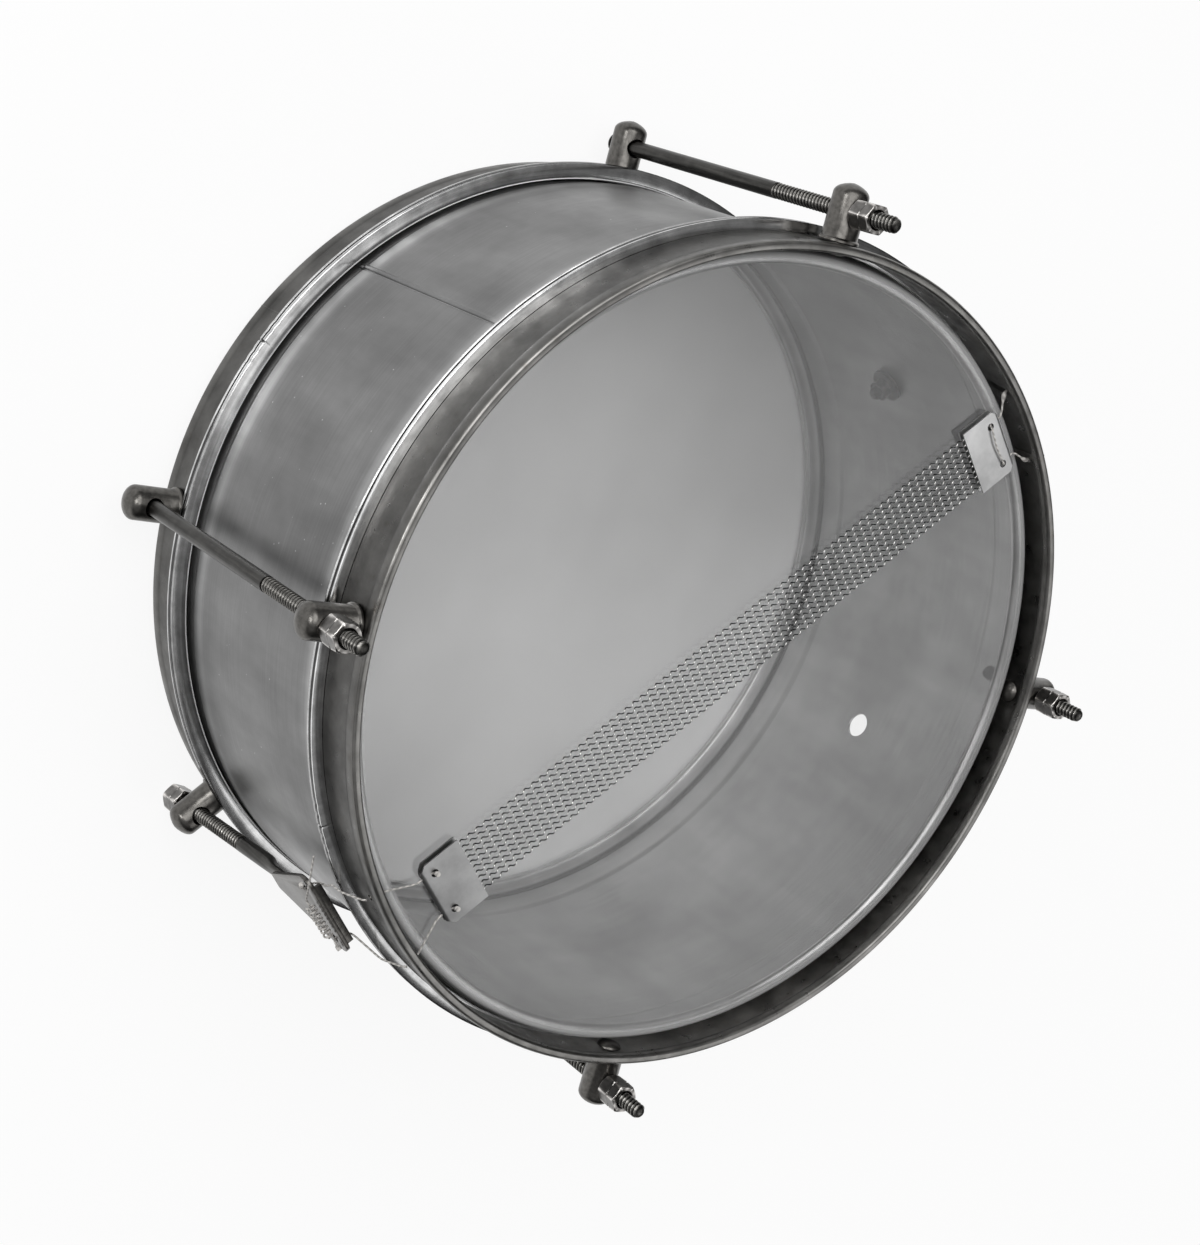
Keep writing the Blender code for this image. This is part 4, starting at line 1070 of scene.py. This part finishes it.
class DRUM_OT_heads(bpy.types.Operator):
    """Two drawn films that run over the bearing edges into their rings"""
    bl_idname = "drum.heads"
    bl_label = "Heads"

    def execute(self, context):
        film = settings("drum_heads").film
        flare = end_radius() + FILM_FLARE
        top = CREST - RING_TOP
        path = [(flare, GAP - RING_TOP - RING_HEIGHT + CREST), (flare, top - 1.6), (end_radius(), top)]
        path = smoothed(path + bearing_edge())
        radii = (0.0, 12.0, 40.0, 80.0, 120.0, 145.0)
        outline = [(r, GAP) for r in radii] + offset(path, -GAP)[::-1]
        outline += offset(path, -GAP - film) + [(r, GAP + film) for r in reversed(radii)]
        clear = spun("upper_film", at_end(outline, True), material("clear_polyester_film"), 288, sharp=60.0)
        crest = crest_radius()
        # A painted highlight along the crest, carried by the film's points
        paint_light(clear, lambda turn, r, z: 0.5 + 0.5 * bell(r - crest - 0.6, 1.3))
        seat(clear, "drum", ["head_upper"])
        pale = spun("lower_film", at_end(outline, False), material("pale_polyester_film"), 288, sharp=60.0)
        seat(pale, "drum", ["head_lower"])
        return {"FINISHED"}


# Hoops

class DRUM_OT_flesh_hoops(bpy.types.Operator):
    """Drawn aluminium rings with grooved faces and the crimp of their joint"""
    bl_idname = "drum.flesh_hoops"
    bl_label = "Flesh hoops"

    def execute(self, context):
        bore = end_radius() + FILM_FLARE + 0.7 + GAP
        wide = settings("drum_hoops").ring_radius
        top = CREST - RING_TOP
        low = top - RING_HEIGHT
        marks = [top - RING_HEIGHT * part for part in (0.3, 0.6)]
        outline = [(bore, top), (wide - 0.7, top), (wide - 0.2, top - 0.2), (wide, top - 0.7)]
        for z in marks:
            outline += [(wide, z + 1.2), (wide - 0.12, z + 0.5), (wide - 0.6, z + 0.2), (wide - 0.6, z - 0.2)]
            outline += [(wide - 0.12, z - 0.5), (wide, z - 1.1)]
        outline += [(wide, low + 0.7), (wide - 0.2, low + 0.2), (wide - 0.7, low), (bore, low)]
        for name, joint, side_highlight in (("upper", 208.0, 0.5), ("lower", 154.7, 0.3)):
            upper = name == "upper"
            levels = [z for r, z in at_end([(0, z) for z in marks], upper)]

            def warp(turn, r, z):
                """The joint's slit between its crimps."""
                off = from_angle(turn, joint)
                crimp = sum(bell(abs(off) - d, 0.35) for d in (1.6, 3.2))
                return r - (0.5 * bell(off, 0.12) + 0.16 * crimp) * (r > wide - 1.0), z

            def wear(turn, r, z):
                """Painted shade in the grooves and a painted highlight on one side."""
                # Painted shade in the grooves, and a painted highlight round 160 degrees that is stronger on
                # the upper ring
                if r > wide - 1.0 and min(abs(z - level) for level in levels) < 0.3:
                    return 0.0
                return 0.38 + side_highlight * bell(from_angle(turn, 160.0), 50.0)

            fine = [joint + 0.06 * i for i in range(-60, 61)]
            surface = material("drawn_aluminium")
            ring = turned(name + "_flesh_ring", at_end(outline, upper), surface, 288, fine, warp, 35.0)
            seat(paint_light(ring, wear), "drum", ["flesh_hoop_" + name])
        return {"FINISHED"}


class DRUM_OT_counterhoops(bpy.types.Operator):
    """Rolled bands with a turned-over bead, holed for rivets and cords, butt-welded"""
    bl_idname = "drum.counterhoops"
    bl_label = "Counterhoops"

    def execute(self, context):
        group = settings("drum_hoops")
        surface = material("oiled_rolled_steel")
        out = group.radius
        inside = out - group.wall
        bead_out = out + BEAD_OUT
        bead_in = inside - BEAD_IN
        high = group.bead_height
        outline = [(out, HOOP_HEIGHT), (out, high + 0.9), (out + 0.1, high + 0.1), (bead_out, high - 0.9)]
        outline += arc(bead_out - BEAD_ROUND, BEAD_ROUND, BEAD_ROUND, 0, -90, 6)
        outline += arc(bead_in + BEAD_ROUND, BEAD_ROUND, BEAD_ROUND, -90, -180, 6)
        outline += [(bead_in, high - 1.6), (bead_in + 0.35, high - 1.0), (inside - 0.35, high - 0.35)]
        outline += [(inside, high + 0.2), (inside, HOOP_HEIGHT)]
        rivets = [(a, RIVET_BORE, LUG_DEPTH) for a in (0, 90, 180, 270)]
        snare = settings("drum_snare").angle
        cords = [(snare + half + hand * CORD_TURN, CORD_BORE, CORD_DEPTH)
                 for half in (0, 180) for hand in (-1, 1)]
        strainer = [(STRAINER_ANGLE, RIVET_BORE, LUG_DEPTH)]
        for name, body, weld, holes in (("upper", "upper_hoop", 38.5, rivets + cords),
                                        ("lower", "drum", 150.0, rivets + strainer)):
            upper = name == "upper"

            def warp(turn, r, z):
                """The weld's ridge, and a band that isn't quite round."""
                ridge = 0.18 * bell(from_angle(turn, weld) - 0.12, 0.07)
                swell = 0.02 * math.sin(math.radians(turn * 7))
                return r + ridge * (1 if r > inside + 0.5 else -1) + swell, z

            def wear(turn, r, z):
                """Painted light on the band: a painted highlight on the bead's outer edge, the bead's outer
                faces a little darker than its inner ones, painted shade in the fold under it, and an inner
                wall painted lighter with a painted highlight on one side.
                """
                deep = abs(z - below_rim(0.0, upper))
                if deep < high:
                    # Painted highlight along the bead's outer edge; the bead's outer faces painted a little
                    # darker than its inner ones
                    edge = bell(r - bead_out + 0.35, 0.4) * bell(deep - 0.35, 0.5)
                    return (0.48 if r > bead_out - 0.6 else 0.59) + 0.2 * edge
                if r < inside + 0.9:
                    # The inner wall painted lighter, with a painted highlight round -62 degrees
                    return 0.62 + 0.33 * bell(from_angle(turn, -62.0), 45.0)
                # Painted shade in the fold under the bead, and the outer wall painted a little darker
                return 0.3 if deep < high + 1.0 else 0.46

            fine = [weld + 0.05 * i for i in range(-12, 13)]
            rings = [(r, below_rim(depth, upper)) for r, depth in outline]
            hoop = turned(name + "_band", rings, surface, 288, fine, warp, 45.0)
            cutters = []
            for turn, radius, depth in holes:
                place = side_frame(turn, 0.0, below_rim(depth, upper))
                cutters.append(drill(radius, inside - 5, bead_out + 5, surface, 24, place))
            cut_by(hoop, *cutters)
            seat(paint_light(hoop, wear), body, ["counterhoop_" + name])
        return {"FINISHED"}


# Lugs, rods and nuts

def lug_at(name, place):
    """A domed stud with a collar, bored for its rod; it stands on the origin of its place."""
    group = settings("drum_fittings")
    surface = material("oiled_machined_steel")
    wide = group.lug_radius
    long = group.lug_length
    outline = [(0.0, 4.3), (2.6, 4.3), (2.6, 0.0), (7.1, 0.0), (7.4, 0.3), (7.4, 1.0), (7.1, 1.35)]
    outline += [(wide + 0.2, 1.5), (wide, 1.8), (wide, long - 4.4), (wide - 0.1, long - 3.7)]
    outline += [(wide - 0.45, long - 2.95)]
    outline += [(wide - 1.1, long - 2.2), (wide - 2.0, long - 1.55), (wide * 0.5, long - 0.95)]
    outline += [(wide * 0.24, long - 0.4), (0.0, long - 0.15)]
    stud = spun(name, outline, surface, 56, place, 42.0)
    across = Matrix.Rotation(math.radians(-90), 4, "X")
    middle = place @ Matrix.Translation((0, 0, rod_circle() - lug_seat()))
    return cut_by(stud, drill(group.rod_radius + 0.7, -12.0, 12.0, surface, 32, middle @ across))


def rivet_at(name, turn, height):
    """A round-headed rivet through the hoop's wall, up into its lug."""
    under = (settings("drum_hoops").radius - settings("drum_hoops").wall) * FACET - GAP
    wide, high, shank = 4.6, 2.0, 2.3
    head = [(wide * math.cos(math.radians(a)), -high * math.sin(math.radians(a))) for a in range(80, -1, -10)]
    reach = lug_seat() + 4.0 - under
    outline = [(0.0, -high)] + head + [(shank, 0.02), (shank, reach), (0.0, reach)]
    return spun(name, outline, material("oiled_machined_steel"), 40, side_frame(turn, under, height), 50.0)


def nut_at(name, place):
    """A nut that fits the rods, with its foot on the origin of its place."""
    group = settings("drum_fittings")
    bore = group.rod_radius + GAP
    return hexagon_nut(name, group.nut_flats, group.nut_height, bore, material("turned_nut_steel"), place)


class DRUM_OT_lugs(bpy.types.Operator):
    """Four studs and rivets on each hoop, repeated round the drum"""
    bl_idname = "drum.lugs"
    bl_label = "Lugs"

    def execute(self, context):
        for level, body in (("upper", "upper_hoop"), ("lower", "drum")):
            height = below_rim(LUG_DEPTH, level == "upper")
            studs = round_the_drum(level + "_studs", lug_at("stud", side_frame(0.0, lug_seat(), height)))
            rivets = round_the_drum(level + "_rivets", rivet_at("rivet", 0.0, height))
            seat(studs, body, [f"lug_{level}_{n}" for n in LUG_NAMES])
            seat(rivets, body, [f"rivet_{level}_{n}" for n in LUG_NAMES])
        return {"FINISHED"}


class DRUM_OT_tension_rods(bpy.types.Operator):
    """Four headed rods, threaded from a third below the upper lugs to their ends"""
    bl_idname = "drum.tension_rods"
    bl_label = "Tension rods"

    def execute(self, context):
        group = settings("drum_fittings")
        surface = material("grey_rod_steel")
        low = below_rim(LUG_DEPTH, False) - group.lug_radius - GAP
        rod = threaded("rod", low, ROD_END, THREAD_START, group.rod_radius, group.pitch, surface)
        head = [(0.0, low - 1.3), (2.2, low - 1.25), (3.3, low - 1.0), (3.9, low - 0.6), (4.0, low - 0.2)]
        whole = joined("tension_rod", [rod, spun("head", head + [(3.8, low), (0.0, low)], surface, 32)])
        whole.data.transform(Matrix.Translation((rod_circle() * MM, 0, 0)))
        rods = round_the_drum("tension_rods", whole)
        rods.data.set_sharp_from_angle(angle=math.radians(65))
        seat(rods, "drum", [f"tension_rod_{n}" for n in LUG_NAMES])
        return {"FINISHED"}


class DRUM_OT_nuts(bpy.types.Operator):
    """A chamfered hexagon nut on each rod"""
    bl_idname = "drum.nuts"
    bl_label = "Nuts"

    def execute(self, context):
        foot = below_rim(LUG_DEPTH, True) + settings("drum_fittings").lug_radius + GAP
        for i, name in enumerate(LUG_NAMES):
            nut = nut_at("nut_" + name, Matrix.Translation(unit(90 * i) * rod_circle() + UP * foot))
            seat(nut, "tension_nut_" + name, ["tension_nut_" + name])
        return {"FINISHED"}


# Strainer

class DRUM_OT_strainer_rod(bpy.types.Operator):
    """Rod threaded at its nut, plain above, then hammered flat into a tongue"""
    bl_idname = "drum.strainer_rod"
    bl_label = "Strainer rod"

    def execute(self, context):
        group = settings("drum_fittings")
        radius = group.rod_radius
        low, thread_end, flat_from, tip = GAP - 17.2, 39.5, 59.0, 89.0
        columns = 24
        turns = [2 * math.pi * k / columns for k in range(columns)]
        points = []
        wear = []
        count = int((thread_end - low) * 6)
        for i in range(count + 1):
            z = low + (thread_end - low) * i / count
            for k, a in enumerate(turns):
                r, height = thread(z, k / columns, radius, group.pitch)
                r = min(r, radius - 0.6 + max(0.0, z - low))
                points.append((r * math.cos(a), r * math.sin(a), z))
                # Painted shade in the thread's roots, a painted highlight on its crests
                wear.append(height)
        for i in range(25):
            z = thread_end + 0.1 + (tip - thread_end - 0.1) * i / 24
            flat = min(1.0, max(0.0, (z - flat_from) / 9.5))
            flat = flat * flat * (3 - 2 * flat)
            end = max(0.0, (z - tip + 2.5) / 2.5)
            for a in turns:
                c, s = (math.copysign(abs(v) ** (1 - 0.4 * flat), v) for v in (math.cos(a), math.sin(a)))
                wide = c * (radius + 0.4 * flat) * (1 - 0.35 * end * end)
                points.append((wide, s * (radius - 1.8 * flat) - 1.2 * flat, z))
                wear.append(0.5)
        place = strainer_frame()
        verts = [tuple(place @ Vector(p)) for p in points]
        faces = flat_ended(len(verts) // columns, columns)
        made = mesh_object("strainer_rod_shape", verts, faces, material("grey_rod_steel"), 62.0, None, wear)
        seat(made, "strainer", ["strainer_rod"])
        return {"FINISHED"}


class DRUM_OT_strainer_lug(bpy.types.Operator):
    """The fifth stud, leaning with its rod, with its rivet and nut"""
    bl_idname = "drum.strainer_lug"
    bl_label = "Strainer lug"

    def execute(self, context):
        group = settings("drum_fittings")
        height = below_rim(LUG_DEPTH, False)
        lean = Matrix.Rotation(LEAN_SIDE, 4, "Z")
        stud = lug_at("strainer_stud", side_frame(STRAINER_ANGLE, lug_seat(), height) @ lean)
        seat(stud, "drum", ["lug_strainer"])
        rivet = rivet_at("strainer_rivet", STRAINER_ANGLE, height)
        seat(rivet, "drum", ["rivet_strainer"])
        place = strainer_frame()
        downhill = math.atan2(-place[2][1], -place[2][0])
        corner = group.nut_flats / 2 / math.cos(math.pi / 6)
        reach = group.lug_radius + GAP + corner * math.sin(math.hypot(LEAN_SIDE, LEAN_IN)) + group.nut_height
        below = Matrix.Translation((0, 0, -reach)) @ Matrix.Rotation(downhill + math.radians(30), 4, "Z")
        nut = nut_at("strainer_nut_shape", place @ below)
        seat(nut, "strainer_nut", ["strainer_nut"])
        return {"FINISHED"}


class DRUM_OT_yoke(bpy.types.Operator):
    """Triangular web with a folded flange, softened edges and two cord holes"""
    bl_idname = "drum.yoke"
    bl_label = "Yoke"

    def execute(self, context):
        place = yoke_frame()
        surface = material("oiled_machined_steel")
        corners = [(-YOKE_HALF, 0.0), (-YOKE_TIP, -YOKE_LENGTH), (YOKE_TIP, -YOKE_LENGTH), (YOKE_HALF, 0.0)]
        outline = rounded(corners, (YOKE_CORNER, 1.2, 1.2, YOKE_CORNER))
        web = block("yoke_web", outline, -YOKE_WEB, 0.0, place, surface)
        slope = math.atan2(YOKE_LENGTH, YOKE_HALF - YOKE_TIP)
        straight = YOKE_HALF - YOKE_CORNER / math.tan(slope / 2)
        strip = [(-straight, -YOKE_WEB), (straight, -YOKE_WEB), (straight, 0.0), (-straight, 0.0)]
        flange = block("flange", strip, -YOKE_FLANGE, -YOKE_WEB / 2, place, surface)
        cut_by(web, flange, operation="UNION")
        turned_about = place @ Matrix.Rotation(math.radians(-90), 4, "Z")
        across, down = YOKE_HOLE
        holes = [block("cutter", oval(down, side * across, 1.3, 1.95, 24), -4.0, 2.0, turned_about, surface)
                 for side in (-1, 1)]
        cut_by(web, *holes)
        edge = web.modifiers.new("edge", "BEVEL")
        edge.width = 0.25 * MM
        edge.segments = 2
        edge.limit_method = "ANGLE"
        edge.angle_limit = math.radians(50)
        paint_light(baked(web))
        web.data.set_sharp_from_angle(angle=math.radians(50))
        seat(web, "strainer", ["strainer_yoke"])
        return {"FINISHED"}


# Snare

class DRUM_OT_strands(bpy.types.Operator):
    """Ten coiled wires side by side from plate to plate"""
    bl_idname = "drum.strands"
    bl_label = "Strands"

    def execute(self, context):
        group = settings("drum_snare")
        start = -NEAR_REACH - STRAND_OVERLAP
        end = FAR_REACH + STRAND_OVERLAP
        made = grown("coiled_strands", strand_tree(), Strands=group.strands, Coils=float(group.coils),
                     Coil_radius=group.coil * MM, Wire_radius=group.wire * MM, Length=(end - start) * MM,
                     Spacing=STRAND_SPACING * MM, Seed=7, Material=material("bright_spring_wire"))
        low = -(group.strands - 1) / 2 * STRAND_SPACING
        turn = Matrix.Rotation(math.radians(group.angle), 4, "Z")
        origin = Matrix.Translation(UP * FILM_TOP * MM) @ turn
        first = Matrix.Translation(Vector((start, low, WIRE_LEVEL)) * MM)
        made.data.transform(origin @ first @ Matrix.Rotation(math.radians(90), 4, "Y"))
        seat(made, "upper_hoop", [f"snare_wire_{i:02d}" for i in range(1, group.strands + 1)])
        return {"FINISHED"}


def plate_hole(side):
    """Distance from the drum's axis to a plate's cord holes, along the snare."""
    return side * ((FAR_REACH if side > 0 else NEAR_REACH) + PLATE_LENGTH - PLATE_HOLE[1])


class DRUM_OT_plates(bpy.types.Operator):
    """Two sheets folded over the strands' ends, with soft folds, clipped corners and cord holes"""
    bl_idname = "drum.plates"
    bl_label = "Plates"

    def execute(self, context):
        place = snare_frame()
        for name, side, inner, finish in (("far", 1, FAR_REACH, "tinned_sheet"),
                                          ("near", -1, NEAR_REACH, "dull_tinned_sheet")):
            surface = material(finish)
            outer = inner + PLATE_LENGTH
            fold = outer - FOLD
            profile = [(inner, WIRE_LEVEL - FOLD), (fold, WIRE_LEVEL - FOLD)]
            profile += arc(fold, WIRE_LEVEL, FOLD, -75, 75, 10) + [(fold, PLATE_TOP), (inner, PLATE_TOP)]
            profile += [(inner, WIRE_LEVEL + FOLD_INSIDE), (fold, WIRE_LEVEL + FOLD_INSIDE)]
            profile += arc(fold, WIRE_LEVEL, FOLD_INSIDE, 75, -75, 8)
            profile += [(fold, WIRE_LEVEL - FOLD_INSIDE), (inner, WIRE_LEVEL - FOLD_INSIDE)]
            ends = [tuple(place @ Vector((side * x, y, z))) for y in (-PLATE_HALF, PLATE_HALF)
                    for x, z in profile]
            plate = prism(name + "_plate", ends, surface, 35.0)
            wedge = [(outer + 1, 10.8), (outer + 1, 15), (outer - 3.2, 15)]
            wedge += [(outer - 2.88, PLATE_HALF), (outer, 11.12)]
            slot = [(outer - 1.8, -1.6), (outer + 2, -1.6), (outer + 2, 1.6), (outer - 1.8, 1.6)]
            cutters = []
            for hand in (-1, 1):
                middle = hand * PLATE_HOLE[0]
                corner = [(side * x, hand * y) for x, y in wedge]
                way = [(side * x, middle + y) for x, y in slot]
                cutters.append(block("cutter", corner, -2, 6, place, surface))
                hole = oval(plate_hole(side), middle, 1.5, 1.5, 24)
                cutters.append(block("cutter", hole, WIRE_LEVEL, 6, place, surface))
                cutters.append(block("cutter", way, WIRE_LEVEL - 0.8, WIRE_LEVEL + 0.8, place, surface))
            cut_by(plate, *cutters)
            seat(plate, "upper_hoop", ["snare_plate_" + name])
        return {"FINISHED"}


# Cords

def eased(route, bend=2.0):
    """The route's straight legs with every corner rounded off over this length."""
    points = [route[0]]
    for before, corner, after in zip(route, route[1:], route[2:]):
        reach = min(bend, (corner - before).length / 2, (after - corner).length / 2)
        start = corner + (before - corner).normalized() * reach
        end = corner + (after - corner).normalized() * reach
        if (start - points[-1]).length < 0.05:
            points.pop()
        for t in (0.0, 0.25, 0.5, 0.75, 1.0):
            points.append(start * (1 - t) ** 2 + corner * 2 * t * (1 - t) + end * t ** 2)
    if (route[-1] - points[-1]).length < 0.05:
        points.pop()
    return points + [route[-1]]


def cord_path(route, step=1.5):
    """An eased route with a point at least every step."""
    points = eased(route)
    path = []
    for here, ahead in zip(points, points[1:]):
        parts = max(1, round((ahead - here).length / step))
        path += [here.lerp(ahead, i / parts) for i in range(parts)]
    return path + [points[-1]]


def length_of(points):
    """Length of a path along its points."""
    return sum((b - a).length for a, b in zip(points, points[1:]))


def hoop_point(turn, radius, depth=CORD_DEPTH):
    """A point by its angle, radius and depth below the upper rim."""
    return unit(turn) * radius + UP * (UPPER_RIM - depth)


def plate_route(side, hand):
    """A cord's way from outside a plate's fold, through it and up out of the hole in its upper leaf."""
    steps = [(7.0, WIRE_LEVEL), (3.5, WIRE_LEVEL), (1.5, WIRE_LEVEL + 0.05), (0.2, PLATE_TOP - 0.5)]
    steps.append((-0.3, PLATE_TOP + 1.0))
    return [snare_frame() @ Vector((plate_hole(side) + side * x, hand * PLATE_HOLE[0], z)) for x, z in steps]


class DRUM_OT_cords(bpy.types.Operator):
    """The far plate's cord, the two cords to the yoke with their knots, and the spare cord's winding"""
    bl_idname = "drum.cords"
    bl_label = "Cords"

    def execute(self, context):
        group = settings("drum_hoops")
        thick = settings("drum_snare").cord_radius
        surface = material("twisted_white_cord")
        snare = settings("drum_snare").angle
        inside = (group.radius - group.wall) * FACET - 0.6
        outside = group.radius + BEAD_OUT
        start = outside + 1.1
        clear = group.ring_radius + 1.3
        yoke = yoke_frame()

        radii = (outside + 2.4, outside + 1.0, inside)
        first, last = ([hoop_point(snare + hand * CORD_TURN, r) for r in radii] + plate_route(1, hand)
                       for hand in (-1, 1))
        bow = snare_frame() @ Vector((plate_hole(1) - 1.2, 0, PLATE_TOP + GAP + 0.85))
        path = cord_path(first + [bow] + last[::-1])
        whole = length_of(path)
        knots = [(0.7, 1.3, 1.0), (whole - 0.7, 1.3, 1.0), (6.4, 1.5, 0.95), (whole - 6.4, 1.5, 0.95)]
        seat(tube("far_tie", path, thick, surface, 10, knots), "upper_hoop", ["snare_cord_far"])

        for name, hand in (("a", 1), ("b", -1)):
            turn = snare + 180 - hand * CORD_TURN
            through = plate_route(-1, hand)[::-1]
            route = [through[0] + UP * 0.9] + through
            route += [hoop_point(turn, inside), hoop_point(turn, group.radius * FACET + GAP)]
            near = tube("snare_tie_" + name, cord_path(route), thick, surface, 10, [(0.7, 1.2, 1.0)])
            seat(near, "upper_hoop", ["snare_cord_" + name])
            route = [hoop_point(turn, start), hoop_point(turn, start + 1.0, 9.7)]
            route += [hoop_point(turn, clear, 20.5), hoop_point(turn, clear, 26.3)]
            x = -hand * YOKE_HOLE[0]
            route += [yoke @ Vector(p) for p in (
                (x, 1.0, -4.7), (x, -2.5, -4.7), (x, -YOKE_HOLE[1], -2.5), (x, -YOKE_HOLE[1], 1.0),
                (x - hand * 2.6, -4.4, 1.3), (x - hand * 3.8, -3.6, 1.3))]
            path = cord_path(route)
            drop = tube("strainer_tie_" + name, path, thick, surface, 10, [(length_of(path) - 0.8, 1.3, 1.0)])
            seat(drop, "strainer", ["strainer_cord_" + name])

        wound = tube("winding", [yoke @ point for point in self.winding()], thick, surface, 8)
        seat(wound, "strainer", ["strainer_cord_winding"])
        return {"FINISHED"}

    def winding(self):
        """A tail, the strand inside the loops, then the loops wound back over it."""
        loops, steps, lead, wide = 8, 24, 1.9, 1.45
        near = Vector((8.5, -3.6, 2.25))
        far = Vector((-6.0, -5.2, 2.25))
        along = (far - near).normalized()
        side = UP.cross(along)
        tail = [Vector((-29.5, 7.2, -4.7)), Vector((-18.0, 2.7, 0.9)), far + along * 2.5, near]
        points = cord_path(tail, 1.0)
        for i in range(1, loops * steps + 1):
            a = 2 * math.pi * i / steps
            bend = min(a, math.pi)
            travel = max(0, i - steps // 2) / steps * lead - wide * math.sin(bend) * 0.7
            radius = wide * (1 - math.cos(bend)) / 2
            points.append(near + along * travel + (UP * math.cos(a) + side * math.sin(a)) * radius)
        return points


class DRUM_OT_shell_bolt(bpy.types.Operator):
    """Pan-head bolt, washer and nut through the shell"""
    bl_idname = "drum.shell_bolt"
    bl_label = "Shell bolt"

    def execute(self, context):
        group = settings("drum_shell")
        surface = material("blackened_bolt_steel")
        axis = side_frame(HOLE_ANGLES[1], 0.0, MIDDLE + HOLE_HEIGHTS[1])
        head, washer, washer_thick, nut_thick = 4.8, 7.0, 1.2, 4.0
        tilt = math.sin(math.pi / 48)
        washer_face = (group.radius - group.wall) * FACET - GAP - washer * tilt
        low = washer_face - washer_thick
        nut_foot = low - GAP - nut_thick
        end = nut_foot - 2.5
        seat_out = group.radius + GAP + head * tilt
        bolt = [(0.0, end), (1.9, end), (2.5, end + 0.6), (2.5, seat_out), (head, seat_out)]
        bolt.append((head, seat_out + 1.0))
        for a in range(15, 80, 15):
            rise = seat_out + 1.0 + 1.6 * math.sin(math.radians(a))
            bolt.append((head * math.cos(math.radians(a)), rise))
        bolt.append((0.0, seat_out + 2.6))
        seat(spun("bolt", bolt, surface, 40, axis), "drum", ["shell_bolt"])
        outline = [(BOLT_BORE, low), (washer - 0.2, low), (washer, low + 0.2), (washer, washer_face)]
        ring = turned("washer", outline + [(BOLT_BORE, washer_face)], surface, 48)
        ring.data.transform(Matrix.Translation(axis.translation * MM) @ axis.to_3x3().to_4x4())
        seat(ring, "drum", ["shell_bolt_washer"])
        place = axis @ Matrix.Translation((0, 0, nut_foot))
        nut = hexagon_nut("bolt_nut", 8.0, nut_thick, BOLT_BORE, surface, place)
        seat(nut, "drum", ["shell_bolt_nut"])
        return {"FINISHED"}


class DRUM_PT_panel(bpy.types.Panel):
    """Sizes, colours and build steps of the drum"""
    bl_idname = "DRUM_PT_panel"
    bl_label = "Samba snare drum"
    bl_space_type = "VIEW_3D"
    bl_region_type = "UI"
    bl_category = "Drum"

    def draw(self, context):
        for name, group in GROUPS.items():
            column = self.layout.column(align=True)
            column.label(text=name.replace("_", " ").capitalize())
            for key in group.__annotations__:
                column.prop(settings(name), key)
        for operator in OPERATORS:
            self.layout.operator(operator.bl_idname)


OPERATORS = (
    DRUM_OT_camera,
    DRUM_OT_stage,
    DRUM_OT_shell,
    DRUM_OT_heads,
    DRUM_OT_flesh_hoops,
    DRUM_OT_counterhoops,
    DRUM_OT_lugs,
    DRUM_OT_tension_rods,
    DRUM_OT_nuts,
    DRUM_OT_strainer_lug,
    DRUM_OT_strainer_rod,
    DRUM_OT_yoke,
    DRUM_OT_strands,
    DRUM_OT_plates,
    DRUM_OT_cords,
    DRUM_OT_shell_bolt,
)
CLASSES = (*GROUPS.values(), *OPERATORS, DRUM_PT_panel)


def register():
    for kind in CLASSES:
        bpy.utils.register_class(kind)
    for name, group in GROUPS.items():
        setattr(bpy.types.Scene, name, PointerProperty(type=group))


def unregister():
    for name in GROUPS:
        delattr(bpy.types.Scene, name)
    for kind in reversed(CLASSES):
        bpy.utils.unregister_class(kind)


def main():
    register()
    for operator in OPERATORS:
        group, name = operator.bl_idname.split(".")
        getattr(getattr(bpy.ops, group), name)()


if __name__ == "__main__":
    main()
